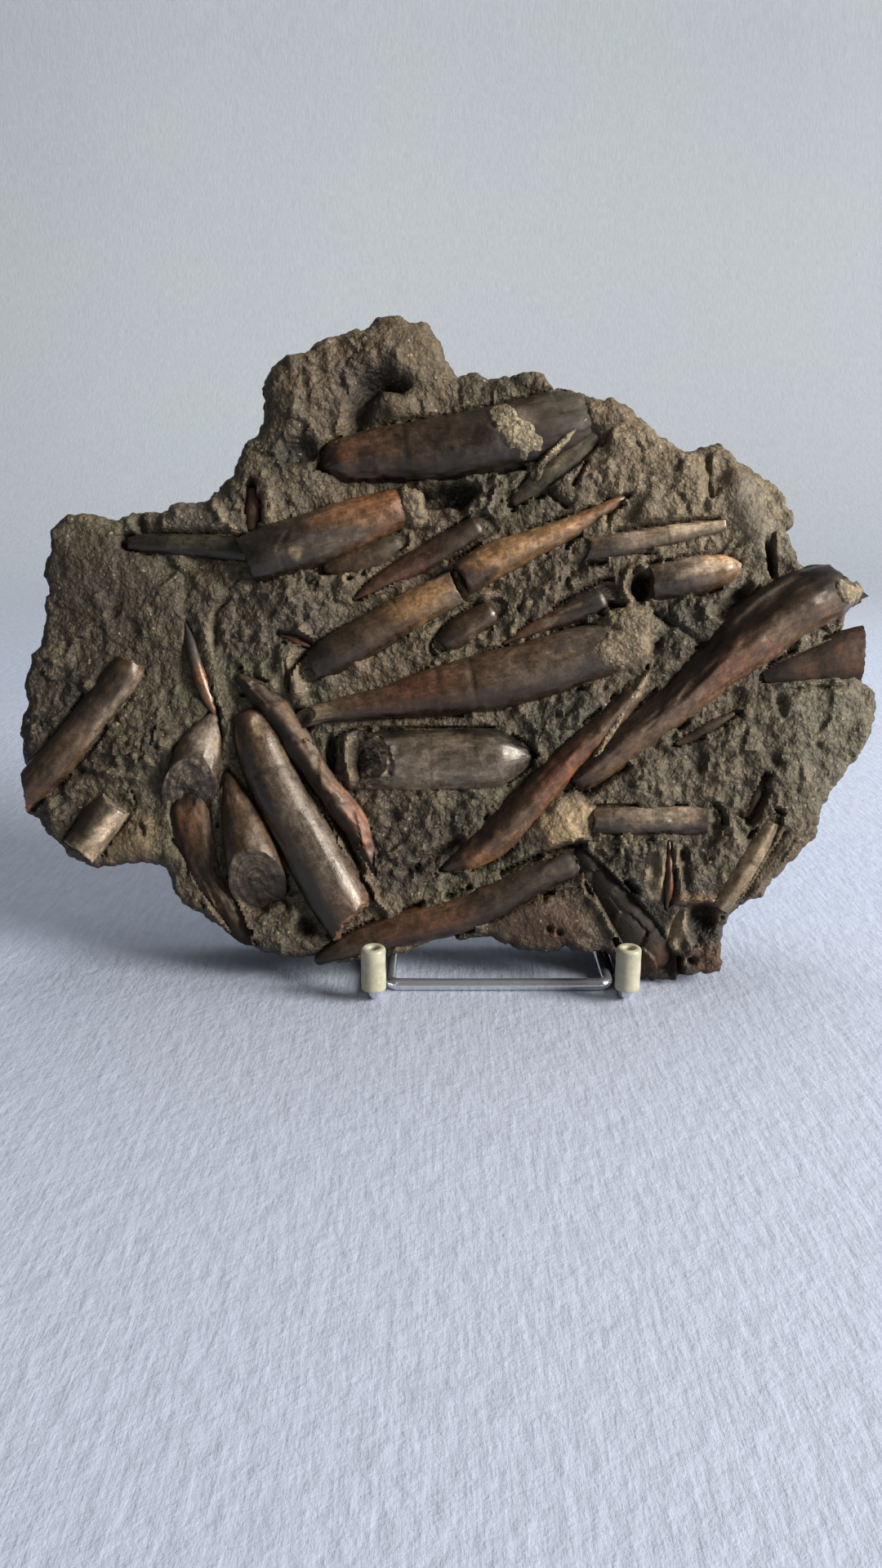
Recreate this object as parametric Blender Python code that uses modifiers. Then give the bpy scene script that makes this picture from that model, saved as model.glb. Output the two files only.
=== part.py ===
"""A belemnite fossil plate leaning in its small wire stand.

The plate is a slab of rock with belemnite guards lying in sockets in its face.
Everything that belongs to the plate hangs on one empty, plate_frame, whose axes
are u (to the right), v (up the face) and w (out of the face). All sizes are in
millimetres and are turned into metres where the objects are made.
"""

import math

import bmesh
import bpy
from mathutils import Vector

MM = 0.001

# Plate
PLATE_LEAN = 16.0  # degrees that the face leans back from upright
PLATE_FOOT_Y = -38.0  # where the plane of the face meets the height PLATE_FOOT_Z
PLATE_FOOT_Z = 3.0
PLATE_THICKNESS = 28.5
PLATE_CENTRE = (-1.6, 74.0)  # the outline is a star shape about this point of the face
REST_HEIGHT = 3.1  # level of the plate's underside, just above the stand's arms
REST_DEPTH = 4.0  # the underside is level from this far behind the face
BACK_EDGE_LIFT = 2.0  # how far its back edge curls up from there
LONG_SWELL = 0.9  # height of the rock's broad swells
SHORT_SWELL = 0.4  # and of its short ones
EDGE_SWELL = 0.35  # share of the swells that the edge keeps
GAP = 0.3  # left between pieces that touch

# Stand
WIRE_DIAMETER = 3.0
WIRE_FACET_TURN = 22.5  # degrees, so that each of the wire's eight sides can lie flat
STAND_CENTRE_X = 12.6
HOOK_SPACING = 60.5  # between the two front hooks
HOOK_TOP = 12.4
HOOK_REACH = 6.9  # how far the hooks stand in front of the foot of the face
HOOK_BEND = 4.0
BACK_FRAME_HEIGHT = 92.0
BACK_FRAME_CORNER = 12.0
BASE_FRAME_WIDTH = 53.6
BASE_FRONT_Y = -37.3
BASE_REAR_Y = 49.6
BASE_STRUT_TOP = 62.0
BASE_CORNER = 2.4
SLEEVE_DIAMETER = 6.0
SLEEVE_BORE = 3.6
SLEEVE_TOP = 14.8
SLEEVE_BOTTOM = 4.2
SLEEVE_ROUNDING = 1.5  # how far down its rounded top reaches

# Outline of the face, clockwise from the upper left corner, as (u, v)
OUTLINE = [
    (-97.6, 110.4), (-93.6, 114), (-81.6, 113.8), (-70.6, 115.2), (-59.6, 118.2), (-53, 123.4),
    (-49.6, 131), (-45.6, 137), (-45.2, 147), (-39.6, 153.2), (-29.6, 157), (-20.6, 160),
    (-14.6, 163), (-4.6, 161.6), (-1, 154), (2.4, 149), (10.4, 147.4), (20.4, 149.6),
    (26.4, 146), (39.4, 144), (48.4, 137), (57.4, 131), (68, 132.6), (71.4, 127.6),
    (77.4, 125), (86, 113), (84.4, 107), (90.4, 100), (99.4, 97.6), (102.8, 93.4),
    (97.8, 88), (102.8, 73), (106.2, 71), (103.4, 59), (99.4, 51), (92.4, 40),
    (87.4, 31), (78.4, 21), (67.2, 12), (66.8, 2.4), (56.4, -0.6), (48.4, 0),
    (40.8, 5.6), (28.4, 7.4), (18.4, 6.8), (10.4, 11), (-0.6, 12), (-9.6, 9.4),
    (-21.6, 5.6), (-32.6, 5.6), (-41.6, 5.8), (-48.6, 7.6), (-64.6, 19), (-71.6, 27.4),
    (-85.6, 27.4), (-96.6, 34), (-106, 43), (-104.8, 50), (-105, 65), (-102, 80),
    (-98.2, 95), (-100, 99.4),
]

# Rings of the slab from the back to the front: how far out (1 is the outline) and how deep (w)
SLAB_RINGS = [
    (0.45, -PLATE_THICKNESS), (0.90, -PLATE_THICKNESS), (0.97, -18.0), (1.0, -8.0),
    (0.985, -1.6), (0.90, 0.0), (0.66, 0.0), (0.42, 0.0), (0.18, 0.0),
]

# Belemnite guards: the two ends of the axis as (u, v, w), and the girth as
# (part of the length, radius). A guard named in "under" lies over this one.
GUARD_SIDES = 12
GUARDS = [
    {"name": "belemnite_top_big", "tone": "dark", "from": (-30.6, 126, -1.5), "to": (37, 138.4, -1.5),
     "girth": [(0, 0), (0.03, 3), (0.1, 5), (0.22, 6.6), (0.5, 8.2), (0.88, 8.2), (1, 5.6)]},
    {"name": "belemnite_upper_left", "tone": "grey", "from": (-46, 102.4, 0.5), "to": (-10.6, 115.4, -1),
     "girth": [(0, 5.2), (0.08, 6.1), (0.5, 5.5), (1, 4)]},
    {"name": "belemnite_left_thin", "tone": "dark", "from": (-76.6, 107, -0.5), "to": (-50.8, 105.6, -0.5),
     "girth": [(0, 1.5), (0.1, 1.9), (1, 3)]},
    {"name": "belemnite_small_lens", "tone": "dark", "from": (-30.6, 99.6, -1), "to": (-11, 105.8, -1),
     "girth": [(0, 1.4), (0.25, 2.6), (0.7, 2.7), (1, 1.6)]},
    {"name": "belemnite_red_tip", "tone": "red", "from": (-22.4, 93.6, -0.5), "to": (8.4, 111, -1),
     "girth": [(0, 0), (0.06, 0.9), (0.35, 2.1), (0.7, 3.2), (1, 3.2)]},
    {"name": "belemnite_middle_stub", "tone": "brown", "from": (-33.6, 75.2, -1), "to": (1.2, 95.8, 0.5),
     "girth": [(0, 3.2), (0.1, 4.5), (0.6, 4.4), (1, 3.5)]},
    {"name": "belemnite_golden", "tone": "gold", "from": (3.4, 98.7, 0.5), "to": (44, 118.8, -0.5),
     "girth": [(0, 4.2), (0.15, 4.6), (0.42, 3.7), (0.7, 2.3), (0.95, 1), (1, 0)]},
    {"name": "belemnite_centre_dark", "tone": "dark", "from": (-1.6, 82.6, -1), "to": (10.8, 91.6, -1.5),
     "girth": [(0, 2.6), (0.2, 3.4), (1, 3.3)]},
    {"name": "belemnite_dark_slip", "tone": "dark", "from": (14, 82.2, -1.5), "to": (39.2, 93.6, -1.5),
     "girth": [(0, 0.7), (0.35, 2.1), (0.8, 2.9), (1, 2.9)]},
    {"name": "belemnite_long_cone", "tone": "brown", "from": (-35.2, 64, 0.5), "to": (42, 79.6, -2.5),
     "girth": [(0, 1.8), (0.07, 2.5), (0.18, 4.2), (0.38, 6.4), (0.6, 7.4), (0.85, 7.6), (1, 6.6)]},
    {"name": "belemnite_bullet", "tone": "grey", "from": (-22, 54, -1), "to": (21.4, 55, -1),
     "girth": [(0, 7.2), (0.8, 7.4), (0.9, 5), (0.97, 2), (1, 0)]},
    {"name": "belemnite_crushed_ridge", "tone": "brown", "from": (-48.6, 73, 0.5), "to": (-18.8, 31.4, 0.5),
     "girth": [(0, 1.8), (0.2, 3), (0.8, 2.9), (1, 0.8)]},
    {"name": "belemnite_bright", "tone": "grey", "from": (-49.2, 66.4, -1), "to": (-24.8, 13.4, -1),
     "girth": [(0, 3.4), (0.1, 4.5), (0.5, 6.3), (0.85, 6.8), (1, 5.4)],
     "under": ["belemnite_crushed_ridge"]},
    {"name": "belemnite_left_stub", "tone": "grey", "from": (-57.4, 65.4, -2), "to": (-62.2, 49.8, 0),
     "girth": [(0, 0.8), (0.4, 3.2), (1, 5.6)]},
    {"name": "belemnite_lower_left", "tone": "brown", "from": (-64.4, 43, -2), "to": (-52.8, 12.4, -2),
     "girth": [(0, 4.8), (0.1, 5.6), (0.5, 5.3), (0.8, 4.4), (1, 2.8)]},
    {"name": "belemnite_ring_end", "tone": "brown", "from": (-54.6, 50.4, -1), "to": (-46.6, 27, 1),
     "girth": [(0, 1), (0.3, 3.5), (0.6, 5), (1, 6)]},
    {"name": "belemnite_left_long", "tone": "dark", "from": (-78.4, 76.6, -0.5), "to": (-101.4, 45.8, -1.5),
     "girth": [(0, 3.2), (0.12, 4.2), (0.9, 4.4), (1, 3.6)]},
    {"name": "belemnite_left_short", "tone": "grey", "from": (-79.2, 43, -1), "to": (-87.6, 31.6, -1),
     "girth": [(0, 3.6), (0.12, 4.5), (1, 4.4)]},
    {"name": "belemnite_needle", "tone": "gold", "from": (-64, 86.2, -0.5), "to": (-58.2, 68.8, -0.5),
     "girth": [(0, 0.6), (0.3, 1.5), (0.75, 1.5), (1, 0.5)]},
    {"name": "belemnite_bottom", "tone": "dark", "from": (-32, 5.4, -1.5), "to": (31, 28, -2),
     "girth": [(0, 1.4), (0.1, 2.9), (0.3, 4.3), (0.9, 4.7), (1, 4.4)]},
    {"name": "belemnite_right_big", "tone": "brown", "from": (94.6, 95.4, -1), "to": (36, 51.9, -2),
     "girth": [(0, 4), (0.05, 6.2), (0.14, 7.4), (0.32, 7.2), (0.56, 5.4), (0.9, 4.6), (1, 2.4)]},
    {"name": "belemnite_crossing", "tone": "brown", "from": (46, 68.4, -0.5), "to": (8.4, 31.4, 0),
     "girth": [(0, 2), (0.12, 3), (0.3, 3.6), (0.85, 4.4), (1, 4.2)], "under": ["belemnite_right_big"]},
    {"name": "belemnite_right_cone", "tone": "red", "from": (79.4, 73.6, -2.6), "to": (101.6, 78.2, -2.6),
     "girth": [(0, 1.4), (0.5, 3.6), (0.85, 5.2), (1, 4.6)]},
    {"name": "belemnite_upper_right_thin", "tone": "grey", "from": (32.8, 105, -1), "to": (68.4, 111.6, -0.5),
     "girth": [(0, 3), (0.06, 3.5), (0.5, 3), (0.9, 1.7), (1, 0)]},
    {"name": "belemnite_lit", "tone": "gold", "from": (50, 97.6, -1), "to": (71.6, 101, 0),
     "girth": [(0, 4.3), (0.6, 4.5), (0.85, 3.5), (0.97, 1.6), (1, 0)]},
    {"name": "belemnite_cylinder", "tone": "grey", "from": (36.8, 39, -1), "to": (63.8, 39.6, -1),
     "girth": [(0, 3), (0.5, 3.3), (1, 3.3)]},
    {"name": "belemnite_edge_strip", "tone": "grey", "from": (79.2, 37.4, -1.5), "to": (68.6, 19.8, -2),
     "girth": [(0, 1.6), (0.3, 2.5), (1, 2.5)]},
    {"name": "belemnite_small_dark", "tone": "dark", "from": (77.8, 49.6, -0.6), "to": (73.4, 40.6, -0.6),
     "girth": [(0, 1), (0.5, 1.3), (1, 0.8)]},
    {"name": "belemnite_charcoal", "tone": "charcoal", "from": (34.4, 28.6, -2), "to": (48, 7.6, -2.5),
     "girth": [(0, 1.4), (0.3, 2.9), (0.7, 4), (1, 4.2)]},
    {"name": "belemnite_red_blade", "tone": "red", "from": (54.2, 33, -0.4), "to": (54.2, 18.4, -0.4),
     "girth": [(0, 0.5), (0.4, 1.1), (1, 0.8)]},
    {"name": "belemnite_greenish", "tone": "grey", "from": (34.6, 130.6, -2.4), "to": (16.4, 117, -1.6),
     "girth": [(0, 1.8), (0.2, 2.7), (0.8, 2.6), (1, 1.4)], "under": ["belemnite_top_big"]},
    {"name": "belemnite_under_right", "tone": "dark", "from": (69.4, 64.2, -1), "to": (56.4, 57, -1),
     "girth": [(0, 0.9), (0.5, 1.7), (1, 1)]},
    {"name": "belemnite_strip", "tone": "dark", "from": (-47.8, 120, -1), "to": (-47.8, 111.2, -1),
     "girth": [(0, 1.5), (0.3, 1.8), (1, 1.6)]},
    {"name": "belemnite_sliver", "tone": "red", "from": (-41, 83.6, -0.4), "to": (-34, 82, -0.4),
     "girth": [(0, 0.4), (0.5, 1), (1, 0.5)]},
]

# Display colours, each part from 0 to 255
GUARD_TONES = {
    "dark": (74, 60, 50), "brown": (104, 80, 66), "gold": (160, 118, 82),
    "grey": (112, 102, 92), "red": (118, 70, 52), "charcoal": (62, 58, 54),
}
STONE_TONE = (108, 97, 84)
CHROME_TONE = (205, 205, 205)
SLEEVE_TONE = (208, 200, 172)


def linear(tone):
    """An 0 to 255 display colour as the linear RGBA that a material takes."""
    return [((part / 255 + 0.055) / 1.055) ** 2.4 for part in tone] + [1.0]


def material(name, tone, roughness, metallic=0.0):
    made = bpy.data.materials.get(name)
    if made is None:
        made = bpy.data.materials.new(name)
        made.use_nodes = True
        shader = made.node_tree.nodes["Principled BSDF"]
        shader.inputs["Base Color"].default_value = linear(tone)
        shader.inputs["Roughness"].default_value = roughness
        shader.inputs["Metallic"].default_value = metallic
    return made


def collection(name):
    made = bpy.data.collections.new(name)
    bpy.context.scene.collection.children.link(made)
    return made


def clear_scene():
    for old in list(bpy.data.objects):
        bpy.data.objects.remove(old)


def add_object(name, data, home, parent=None):
    made = bpy.data.objects.new(name, data)
    home.objects.link(made)
    made.parent = parent
    return made


def make_cutter(obj):
    obj.hide_render = True
    obj.display_type = "WIRE"
    return obj


def add_cut(obj, name, cutter=None, cutters=None):
    """Take one cutter, or a whole collection of them, out of an object."""
    cut = obj.modifiers.new(name, "BOOLEAN")
    cut.operation = "DIFFERENCE"
    cut.solver = "EXACT"
    if cutters is None:
        cut.object = cutter
    else:
        cut.operand_type = "COLLECTION"
        cut.collection = cutters


def add_plate_frame(home):
    frame = add_object("plate_frame", None, home)
    frame.location = (0, PLATE_FOOT_Y * MM, PLATE_FOOT_Z * MM)
    frame.rotation_euler = (math.radians(90 - PLATE_LEAN), 0, 0)
    return frame


def lowest_v(w):
    """The v that lies REST_HEIGHT above the ground at the depth w."""
    lean = math.radians(PLATE_LEAN)
    return (REST_HEIGHT - PLATE_FOOT_Z - w * math.sin(lean)) / math.cos(lean)


def relief(u, v):
    """Gentle swells of the rock between its edges."""
    long_swell = math.sin(u / 23 + 0.6) * math.cos(v / 31 - 0.4)
    short_swell = math.sin(u / 11 + v / 17)
    return LONG_SWELL * long_swell + SHORT_SWELL * short_swell


def slab_ring(mesh, reach, depth):
    """One ring of the slab, cut off level where it would reach below the plate's rest."""
    middle_u, middle_v = PLATE_CENTRE
    swell = 1 if depth == 0 else EDGE_SWELL
    floor_v = lowest_v(depth)
    if depth == -PLATE_THICKNESS:
        floor_v += BACK_EDGE_LIFT
    ring = []
    for u, v in OUTLINE:
        ring_u = middle_u + (u - middle_u) * reach
        ring_v = middle_v + (v - middle_v) * reach
        if depth < -REST_DEPTH:
            ring_v = max(ring_v, floor_v)
        height = max(depth + relief(ring_u, ring_v) * swell, -PLATE_THICKNESS)
        ring.append(mesh.verts.new(Vector((ring_u, ring_v, height)) * MM))
    return ring


def add_matrix(home, parent, sockets):
    """The rock: rings lofted from the back to the front, with a socket for each guard."""
    mesh = bmesh.new()
    rings = [slab_ring(mesh, reach, depth) for reach, depth in SLAB_RINGS]
    count = len(OUTLINE)
    for lower, upper in zip(rings, rings[1:]):
        for i in range(count):
            j = (i + 1) % count
            mesh.faces.new((lower[i], lower[j], upper[j], upper[i]))
    for ring, depth in ((rings[0], -PLATE_THICKNESS), (rings[-1], relief(*PLATE_CENTRE))):
        middle = mesh.verts.new(Vector((*PLATE_CENTRE, depth)) * MM)
        for i in range(count):
            mesh.faces.new((ring[i], ring[(i + 1) % count], middle))
    bmesh.ops.recalc_face_normals(mesh, faces=mesh.faces)
    data = bpy.data.meshes.new("matrix")
    mesh.to_mesh(data)
    mesh.free()
    rock = add_object("matrix", data, home, parent)
    data.materials.append(material("stone", STONE_TONE, 0.95))
    add_cut(rock, "sockets", cutters=sockets)
    return rock


def guard_profile(guard, growth=0.0):
    """The half section of a guard as (radius, height) from its far end down to its near end."""
    length = (Vector(guard["to"]) - Vector(guard["from"])).length
    section = []
    for part, radius in guard["girth"]:
        height = part * (length + 2 * growth) - growth
        section.append((radius + growth if radius > 0 else 0, height))
    if section[0][0] > 0:
        section.insert(0, (0, section[0][1]))
    if section[-1][0] > 0:
        section.append((0, section[-1][1]))
    return list(reversed(section))


def turned(name, section, home, parent, sides, closed=False):
    """A Screw object turned from a section of (radius, height)."""
    data = bpy.data.meshes.new(name)
    corners = [(radius * MM, 0, height * MM) for radius, height in section]
    edges = [(i, i + 1) for i in range(len(corners) - 1)]
    if closed:
        edges.append((len(corners) - 1, 0))
    data.from_pydata(corners, edges, [])
    made = add_object(name, data, home, parent)
    screw = made.modifiers.new("turn", "SCREW")
    screw.axis = "Z"
    screw.steps = sides
    screw.render_steps = sides
    screw.use_merge_vertices = True
    screw.merge_threshold = 0.00002
    screw.use_smooth_shade = True
    return made


def lay_along(obj, guard):
    """Lay an object whose length is Z along the axis of a guard."""
    start = Vector(guard["from"])
    axis = Vector(guard["to"]) - start
    obj.rotation_mode = "QUATERNION"
    obj.rotation_quaternion = Vector((0, 0, 1)).rotation_difference(axis)
    obj.location = start * MM


def add_guards(home, sockets, parent):
    cutters = {}
    for guard in GUARDS:
        name = guard["name"]
        section = guard_profile(guard, GAP)
        cutter = turned(name + "_socket", section, sockets, parent, GUARD_SIDES)
        lay_along(cutter, guard)
        cutters[name] = make_cutter(cutter)
    for guard in GUARDS:
        name = guard["name"]
        made = turned(name, guard_profile(guard), home, parent, GUARD_SIDES)
        lay_along(made, guard)
        made.data.materials.append(material("calcite_" + guard["tone"], GUARD_TONES[guard["tone"]], 0.4))
        for upper in guard.get("under", []):
            add_cut(made, "room_for_" + upper, cutter=cutters[upper])


def rounded_corner(before, corner, after, radius, steps):
    """The points of an arc that rounds one corner of a wire."""
    before, corner, after = Vector(before), Vector(corner), Vector(after)
    to_before = (before - corner).normalized()
    to_after = (after - corner).normalized()
    half = to_before.angle(to_after) / 2
    centre = corner + (to_before + to_after).normalized() * radius / math.sin(half)
    first = (corner + to_before * radius / math.tan(half) - centre).normalized()
    last = (corner + to_after * radius / math.tan(half) - centre).normalized()
    return [centre + first.slerp(last, step / steps) * radius for step in range(steps + 1)]


def wire_route(corners, radii, steps=5):
    """The route of a bent wire: straight runs between rounded corners, or sharp ones of radius 0."""
    count = len(corners)
    route = []
    for i, (corner, radius) in enumerate(zip(corners, radii)):
        if radius == 0:
            route.append(Vector(corner))
        else:
            before = corners[i - 1]
            after = corners[(i + 1) % count]
            route.extend(rounded_corner(before, corner, after, radius, steps))
    return route


def add_wire(name, route, closed, home):
    data = bpy.data.curves.new(name, "CURVE")
    data.dimensions = "3D"
    data.twist_mode = "MINIMUM"
    data.bevel_depth = WIRE_DIAMETER / 2 * MM
    data.bevel_resolution = 2
    data.use_fill_caps = not closed
    run = data.splines.new("POLY")
    run.points.add(len(route) - 1)
    for point, place in zip(run.points, route):
        point.co = (*(place * MM), 1)
        point.tilt = math.radians(WIRE_FACET_TURN)
    run.use_cyclic_u = closed
    data.materials.append(material("chrome", CHROME_TONE, 0.18, 1.0))
    return add_object(name, data, home)


def wire_ground():
    """The height of the axis of a wire that lies on the ground on one flat side."""
    return WIRE_DIAMETER / 2 * math.cos(math.radians(WIRE_FACET_TURN))


def wire_behind():
    """How far behind the face the axis of a wire runs that the plate's back lies against."""
    return PLATE_THICKNESS + GAP + WIRE_DIAMETER / 2


def leaning(height, depth):
    """The place, as (y, z), at the given height on the plane that lies depth behind the face."""
    lean = math.radians(PLATE_LEAN)
    foot = PLATE_FOOT_Y + (depth + (height - PLATE_FOOT_Z) * math.sin(lean)) / math.cos(lean)
    return foot, height


def add_back_frame(home):
    """One wire: two hooks, two arms along the ground, two uprights and the bar that joins them."""
    ground = wire_ground()
    hook_y = PLATE_FOOT_Y - HOOK_REACH
    foot_y = leaning(ground, wire_behind())[0]
    top_y, top_z = leaning(BACK_FRAME_HEIGHT, wire_behind())
    left = STAND_CENTRE_X - HOOK_SPACING / 2
    right = STAND_CENTRE_X + HOOK_SPACING / 2
    corners = [
        (left, hook_y, HOOK_TOP), (left, hook_y, ground), (left, foot_y, ground), (left, top_y, top_z),
        (right, top_y, top_z), (right, foot_y, ground), (right, hook_y, ground), (right, hook_y, HOOK_TOP),
    ]
    bends = [0, HOOK_BEND, HOOK_BEND, BACK_FRAME_CORNER, BACK_FRAME_CORNER, HOOK_BEND, HOOK_BEND, 0]
    add_wire("stand_back_frame", wire_route(corners, bends), False, home)


def add_base_frame(home):
    """One closed wire: a loop on the ground whose rear rises to a bar between the uprights."""
    ground = wire_ground()
    top_y, top_z = leaning(BASE_STRUT_TOP, wire_behind())
    left = STAND_CENTRE_X - BASE_FRAME_WIDTH / 2
    right = STAND_CENTRE_X + BASE_FRAME_WIDTH / 2
    corners = [
        (right, BASE_FRONT_Y, ground), (right, BASE_REAR_Y, ground), (right, top_y, top_z),
        (left, top_y, top_z), (left, BASE_REAR_Y, ground), (left, BASE_FRONT_Y, ground),
    ]
    bends = [BASE_CORNER, HOOK_BEND, BASE_CORNER, BASE_CORNER, HOOK_BEND, BASE_CORNER]
    add_wire("stand_base_frame", wire_route(corners, bends), True, home)


def add_sleeves(home):
    """A soft plastic sleeve over each hook, with a rounded end."""
    outer = SLEEVE_DIAMETER / 2
    bore = SLEEVE_BORE / 2
    section = [
        (bore, SLEEVE_TOP), (outer - 0.5 * SLEEVE_ROUNDING, SLEEVE_TOP),
        (outer - 0.15 * SLEEVE_ROUNDING, SLEEVE_TOP - 0.4 * SLEEVE_ROUNDING),
        (outer, SLEEVE_TOP - SLEEVE_ROUNDING), (outer, SLEEVE_BOTTOM), (bore, SLEEVE_BOTTOM),
    ]
    for side, name in ((-1, "sleeve_left"), (1, "sleeve_right")):
        sleeve = turned(name, section, home, None, 16, closed=True)
        hook_x = STAND_CENTRE_X + side * HOOK_SPACING / 2
        sleeve.location = Vector((hook_x, PLATE_FOOT_Y - HOOK_REACH, 0)) * MM
        sleeve.data.materials.append(material("sleeve_plastic", SLEEVE_TONE, 0.45))


def main():
    clear_scene()
    home = collection("belemnite_fossil_plate")
    sockets = collection("sockets")
    frame = add_plate_frame(home)
    add_guards(home, sockets, frame)
    add_matrix(home, frame, sockets)
    add_back_frame(home)
    add_base_frame(home)
    add_sleeves(home)


main()
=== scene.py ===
import math

import bpy
import numpy as np
from mathutils import Matrix, Vector
from mathutils.kdtree import KDTree


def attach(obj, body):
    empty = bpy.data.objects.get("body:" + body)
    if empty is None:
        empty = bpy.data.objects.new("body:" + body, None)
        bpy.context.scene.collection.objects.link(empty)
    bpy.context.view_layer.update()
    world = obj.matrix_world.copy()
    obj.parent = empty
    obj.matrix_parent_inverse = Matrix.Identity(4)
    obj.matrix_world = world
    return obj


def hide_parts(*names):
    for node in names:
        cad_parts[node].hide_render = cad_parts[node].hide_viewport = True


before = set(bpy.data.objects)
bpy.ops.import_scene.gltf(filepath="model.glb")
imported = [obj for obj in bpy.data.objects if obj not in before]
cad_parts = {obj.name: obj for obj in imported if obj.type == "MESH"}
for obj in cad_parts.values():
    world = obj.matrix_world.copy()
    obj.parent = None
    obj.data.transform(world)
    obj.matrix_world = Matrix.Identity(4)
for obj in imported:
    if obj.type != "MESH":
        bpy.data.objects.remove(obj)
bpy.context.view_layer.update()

mm = 0.001

# The plate leans back. Its own axes are u to the right, v up its face and w out of it, in
# millimetres, and places on it are written on a drawing grid of five steps to the millimetre,
# counted right and down from the grid's corner.
plate = {"lean": 16, "footY": -38, "footZ": 3, "gridLeft": 548, "gridFoot": 1200, "stepsPerMm": 5}
plateMatrix = (Matrix.Translation((0, plate["footY"] * mm, plate["footZ"] * mm))
               @ Matrix.Rotation(math.radians(90 - plate["lean"]), 4, "X") @ Matrix.Scale(mm, 4))


def onPlate(x, y):
    return (x - plate["gridLeft"]) / plate["stepsPerMm"], (plate["gridFoot"] - y) / plate["stepsPerMm"]


def linear(tone):
    return [((part / 255 + 0.055) / 1.055) ** 2.4 if part > 10 else part / 3294.6 for part in tone] + [1.0]


# Small helpers for working on one object at a time.

def deselectAll():
    if bpy.context.object and bpy.context.object.mode != "OBJECT":
        leaveEdit()
    bpy.ops.object.select_all(action="DESELECT")


def pick(piece):
    deselectAll()
    piece.select_set(True)
    bpy.context.view_layer.objects.active = piece


def edit(selectMode="VERT"):
    # the select mode is set before edit mode reads what is selected
    bpy.context.tool_settings.mesh_select_mode = [selectMode == mode for mode in ("VERT", "EDGE", "FACE")]
    bpy.ops.object.mode_set(mode="EDIT")


def leaveEdit():
    bpy.ops.object.mode_set(mode="OBJECT")


def selectAll():
    bpy.ops.mesh.select_all(action="SELECT")


def extrude(*move):
    bpy.ops.mesh.extrude_region_move(TRANSFORM_OT_translate={"value": move or (0, 0, 0)})


def smoothBelow(angle):
    bpy.ops.object.shade_smooth_by_angle(angle=math.radians(angle))


def closeUp(angle):
    # from edit mode: faces point outwards, and only edges sharper than the angle stay crisp
    selectAll()
    bpy.ops.mesh.normals_make_consistent(inside=False)
    leaveEdit()
    smoothBelow(angle)


def added(name):
    piece = bpy.context.object
    piece.name = piece.data.name = name
    return piece


def applyPlace(piece):
    pick(piece)
    bpy.ops.object.transform_apply(location=True, rotation=True, scale=True)


def read(group, key, width=3, kind=float):
    # one row of numbers for each vertex, edge, face or corner
    flat = np.empty(len(group) * width, dtype=kind)
    group.foreach_get(key, flat)
    return flat.reshape(-1, width) if width > 1 else flat


def spots(piece):
    return read(piece.data.vertices, "co")


def moveSpots(piece, places):
    piece.data.vertices.foreach_set("co", np.asarray(places, dtype=float).ravel())
    piece.data.update()


def edgeEnds(piece):
    return spots(piece)[read(piece.data.edges, "vertices", 2, int)]


def select(piece, kind, chosen):
    # in object mode: exactly these vertices, edges or polygons end up selected
    mesh = piece.data
    for group in (mesh.vertices, mesh.edges, mesh.polygons):
        group.foreach_set("select", np.zeros(len(group), dtype=bool))
    getattr(mesh, kind).foreach_set("select", np.asarray(chosen, dtype=bool))
    edit({"vertices": "VERT", "edges": "EDGE", "polygons": "FACE"}[kind])


def putAttribute(piece, name, values):
    # rows of three numbers are vectors, rows of four are colours
    known = piece.data.attributes
    if name in known:
        known.remove(known[name])
    kind, key = ("FLOAT_COLOR", "color") if values.shape[1] == 4 else ("FLOAT_VECTOR", "vector")
    known.new(name, kind, "POINT").data.foreach_set(key, values.ravel())


def getVectors(piece, name):
    return read(piece.data.attributes[name].data, "vector")


def unit(rows):
    return rows / np.linalg.norm(rows, axis=-1, keepdims=True)


def ramp(value, low, high):
    part = np.clip((value - low) / (high - low), 0, 1)
    return part * part * (3 - 2 * part)


# Noise. Sizes are in millimetres, and what stands before a noise is its lift in millimetres too.
# Whole-number cells are mixed up by large numbers, so every run draws the same.
mixers = {"x": 73856093, "y": 19349663, "z": 83492791, "seed": 40503, "first": 1274126177,
          "second": 2246822519}
turned = np.array(Matrix.Rotation(0.7, 3, Vector((0.4, 0.7, 0.6)).normalized()))


def shuffled(cells, seed):
    # a number from 0 to 1 for each cell
    mixed = ((cells[..., 0] * mixers["x"]) ^ (cells[..., 1] * mixers["y"]) ^ (cells[..., 2] * mixers["z"])
             ^ (seed * mixers["seed"] + 977))
    mixed = ((mixed ^ (mixed >> 13)) * mixers["first"]) & 0xFFFFFFFF
    mixed = ((mixed ^ (mixed >> 15)) * mixers["second"]) & 0xFFFFFFFF
    return ((mixed ^ (mixed >> 16)) & 0xFFFF) / 65535


def fractal(places, size, octaves=4, gain=0.5, seed=0):
    # soft noise from about -1 to 1, finer with each octave
    total, strength = np.zeros(len(places)), 1.0
    at = np.asarray(places, float) / size + seed * 7.31
    for octave in range(octaves):
        cell = np.floor(at).astype(np.int64)
        part = at - cell
        part = part * part * part * (part * (part * 6 - 15) + 10)
        value = np.zeros(len(at))
        for corner in range(8):
            step = np.array([corner & 1, corner >> 1 & 1, corner >> 2])
            weight = np.prod(np.where(step, part, 1 - part), axis=1)
            value += weight * shuffled(cell + step, seed + 13 * octave)
        total += strength * (2.6 * value - 1.3)
        strength *= gain
        at = at @ turned.T * 2.03 + 3.7
    return total


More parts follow.
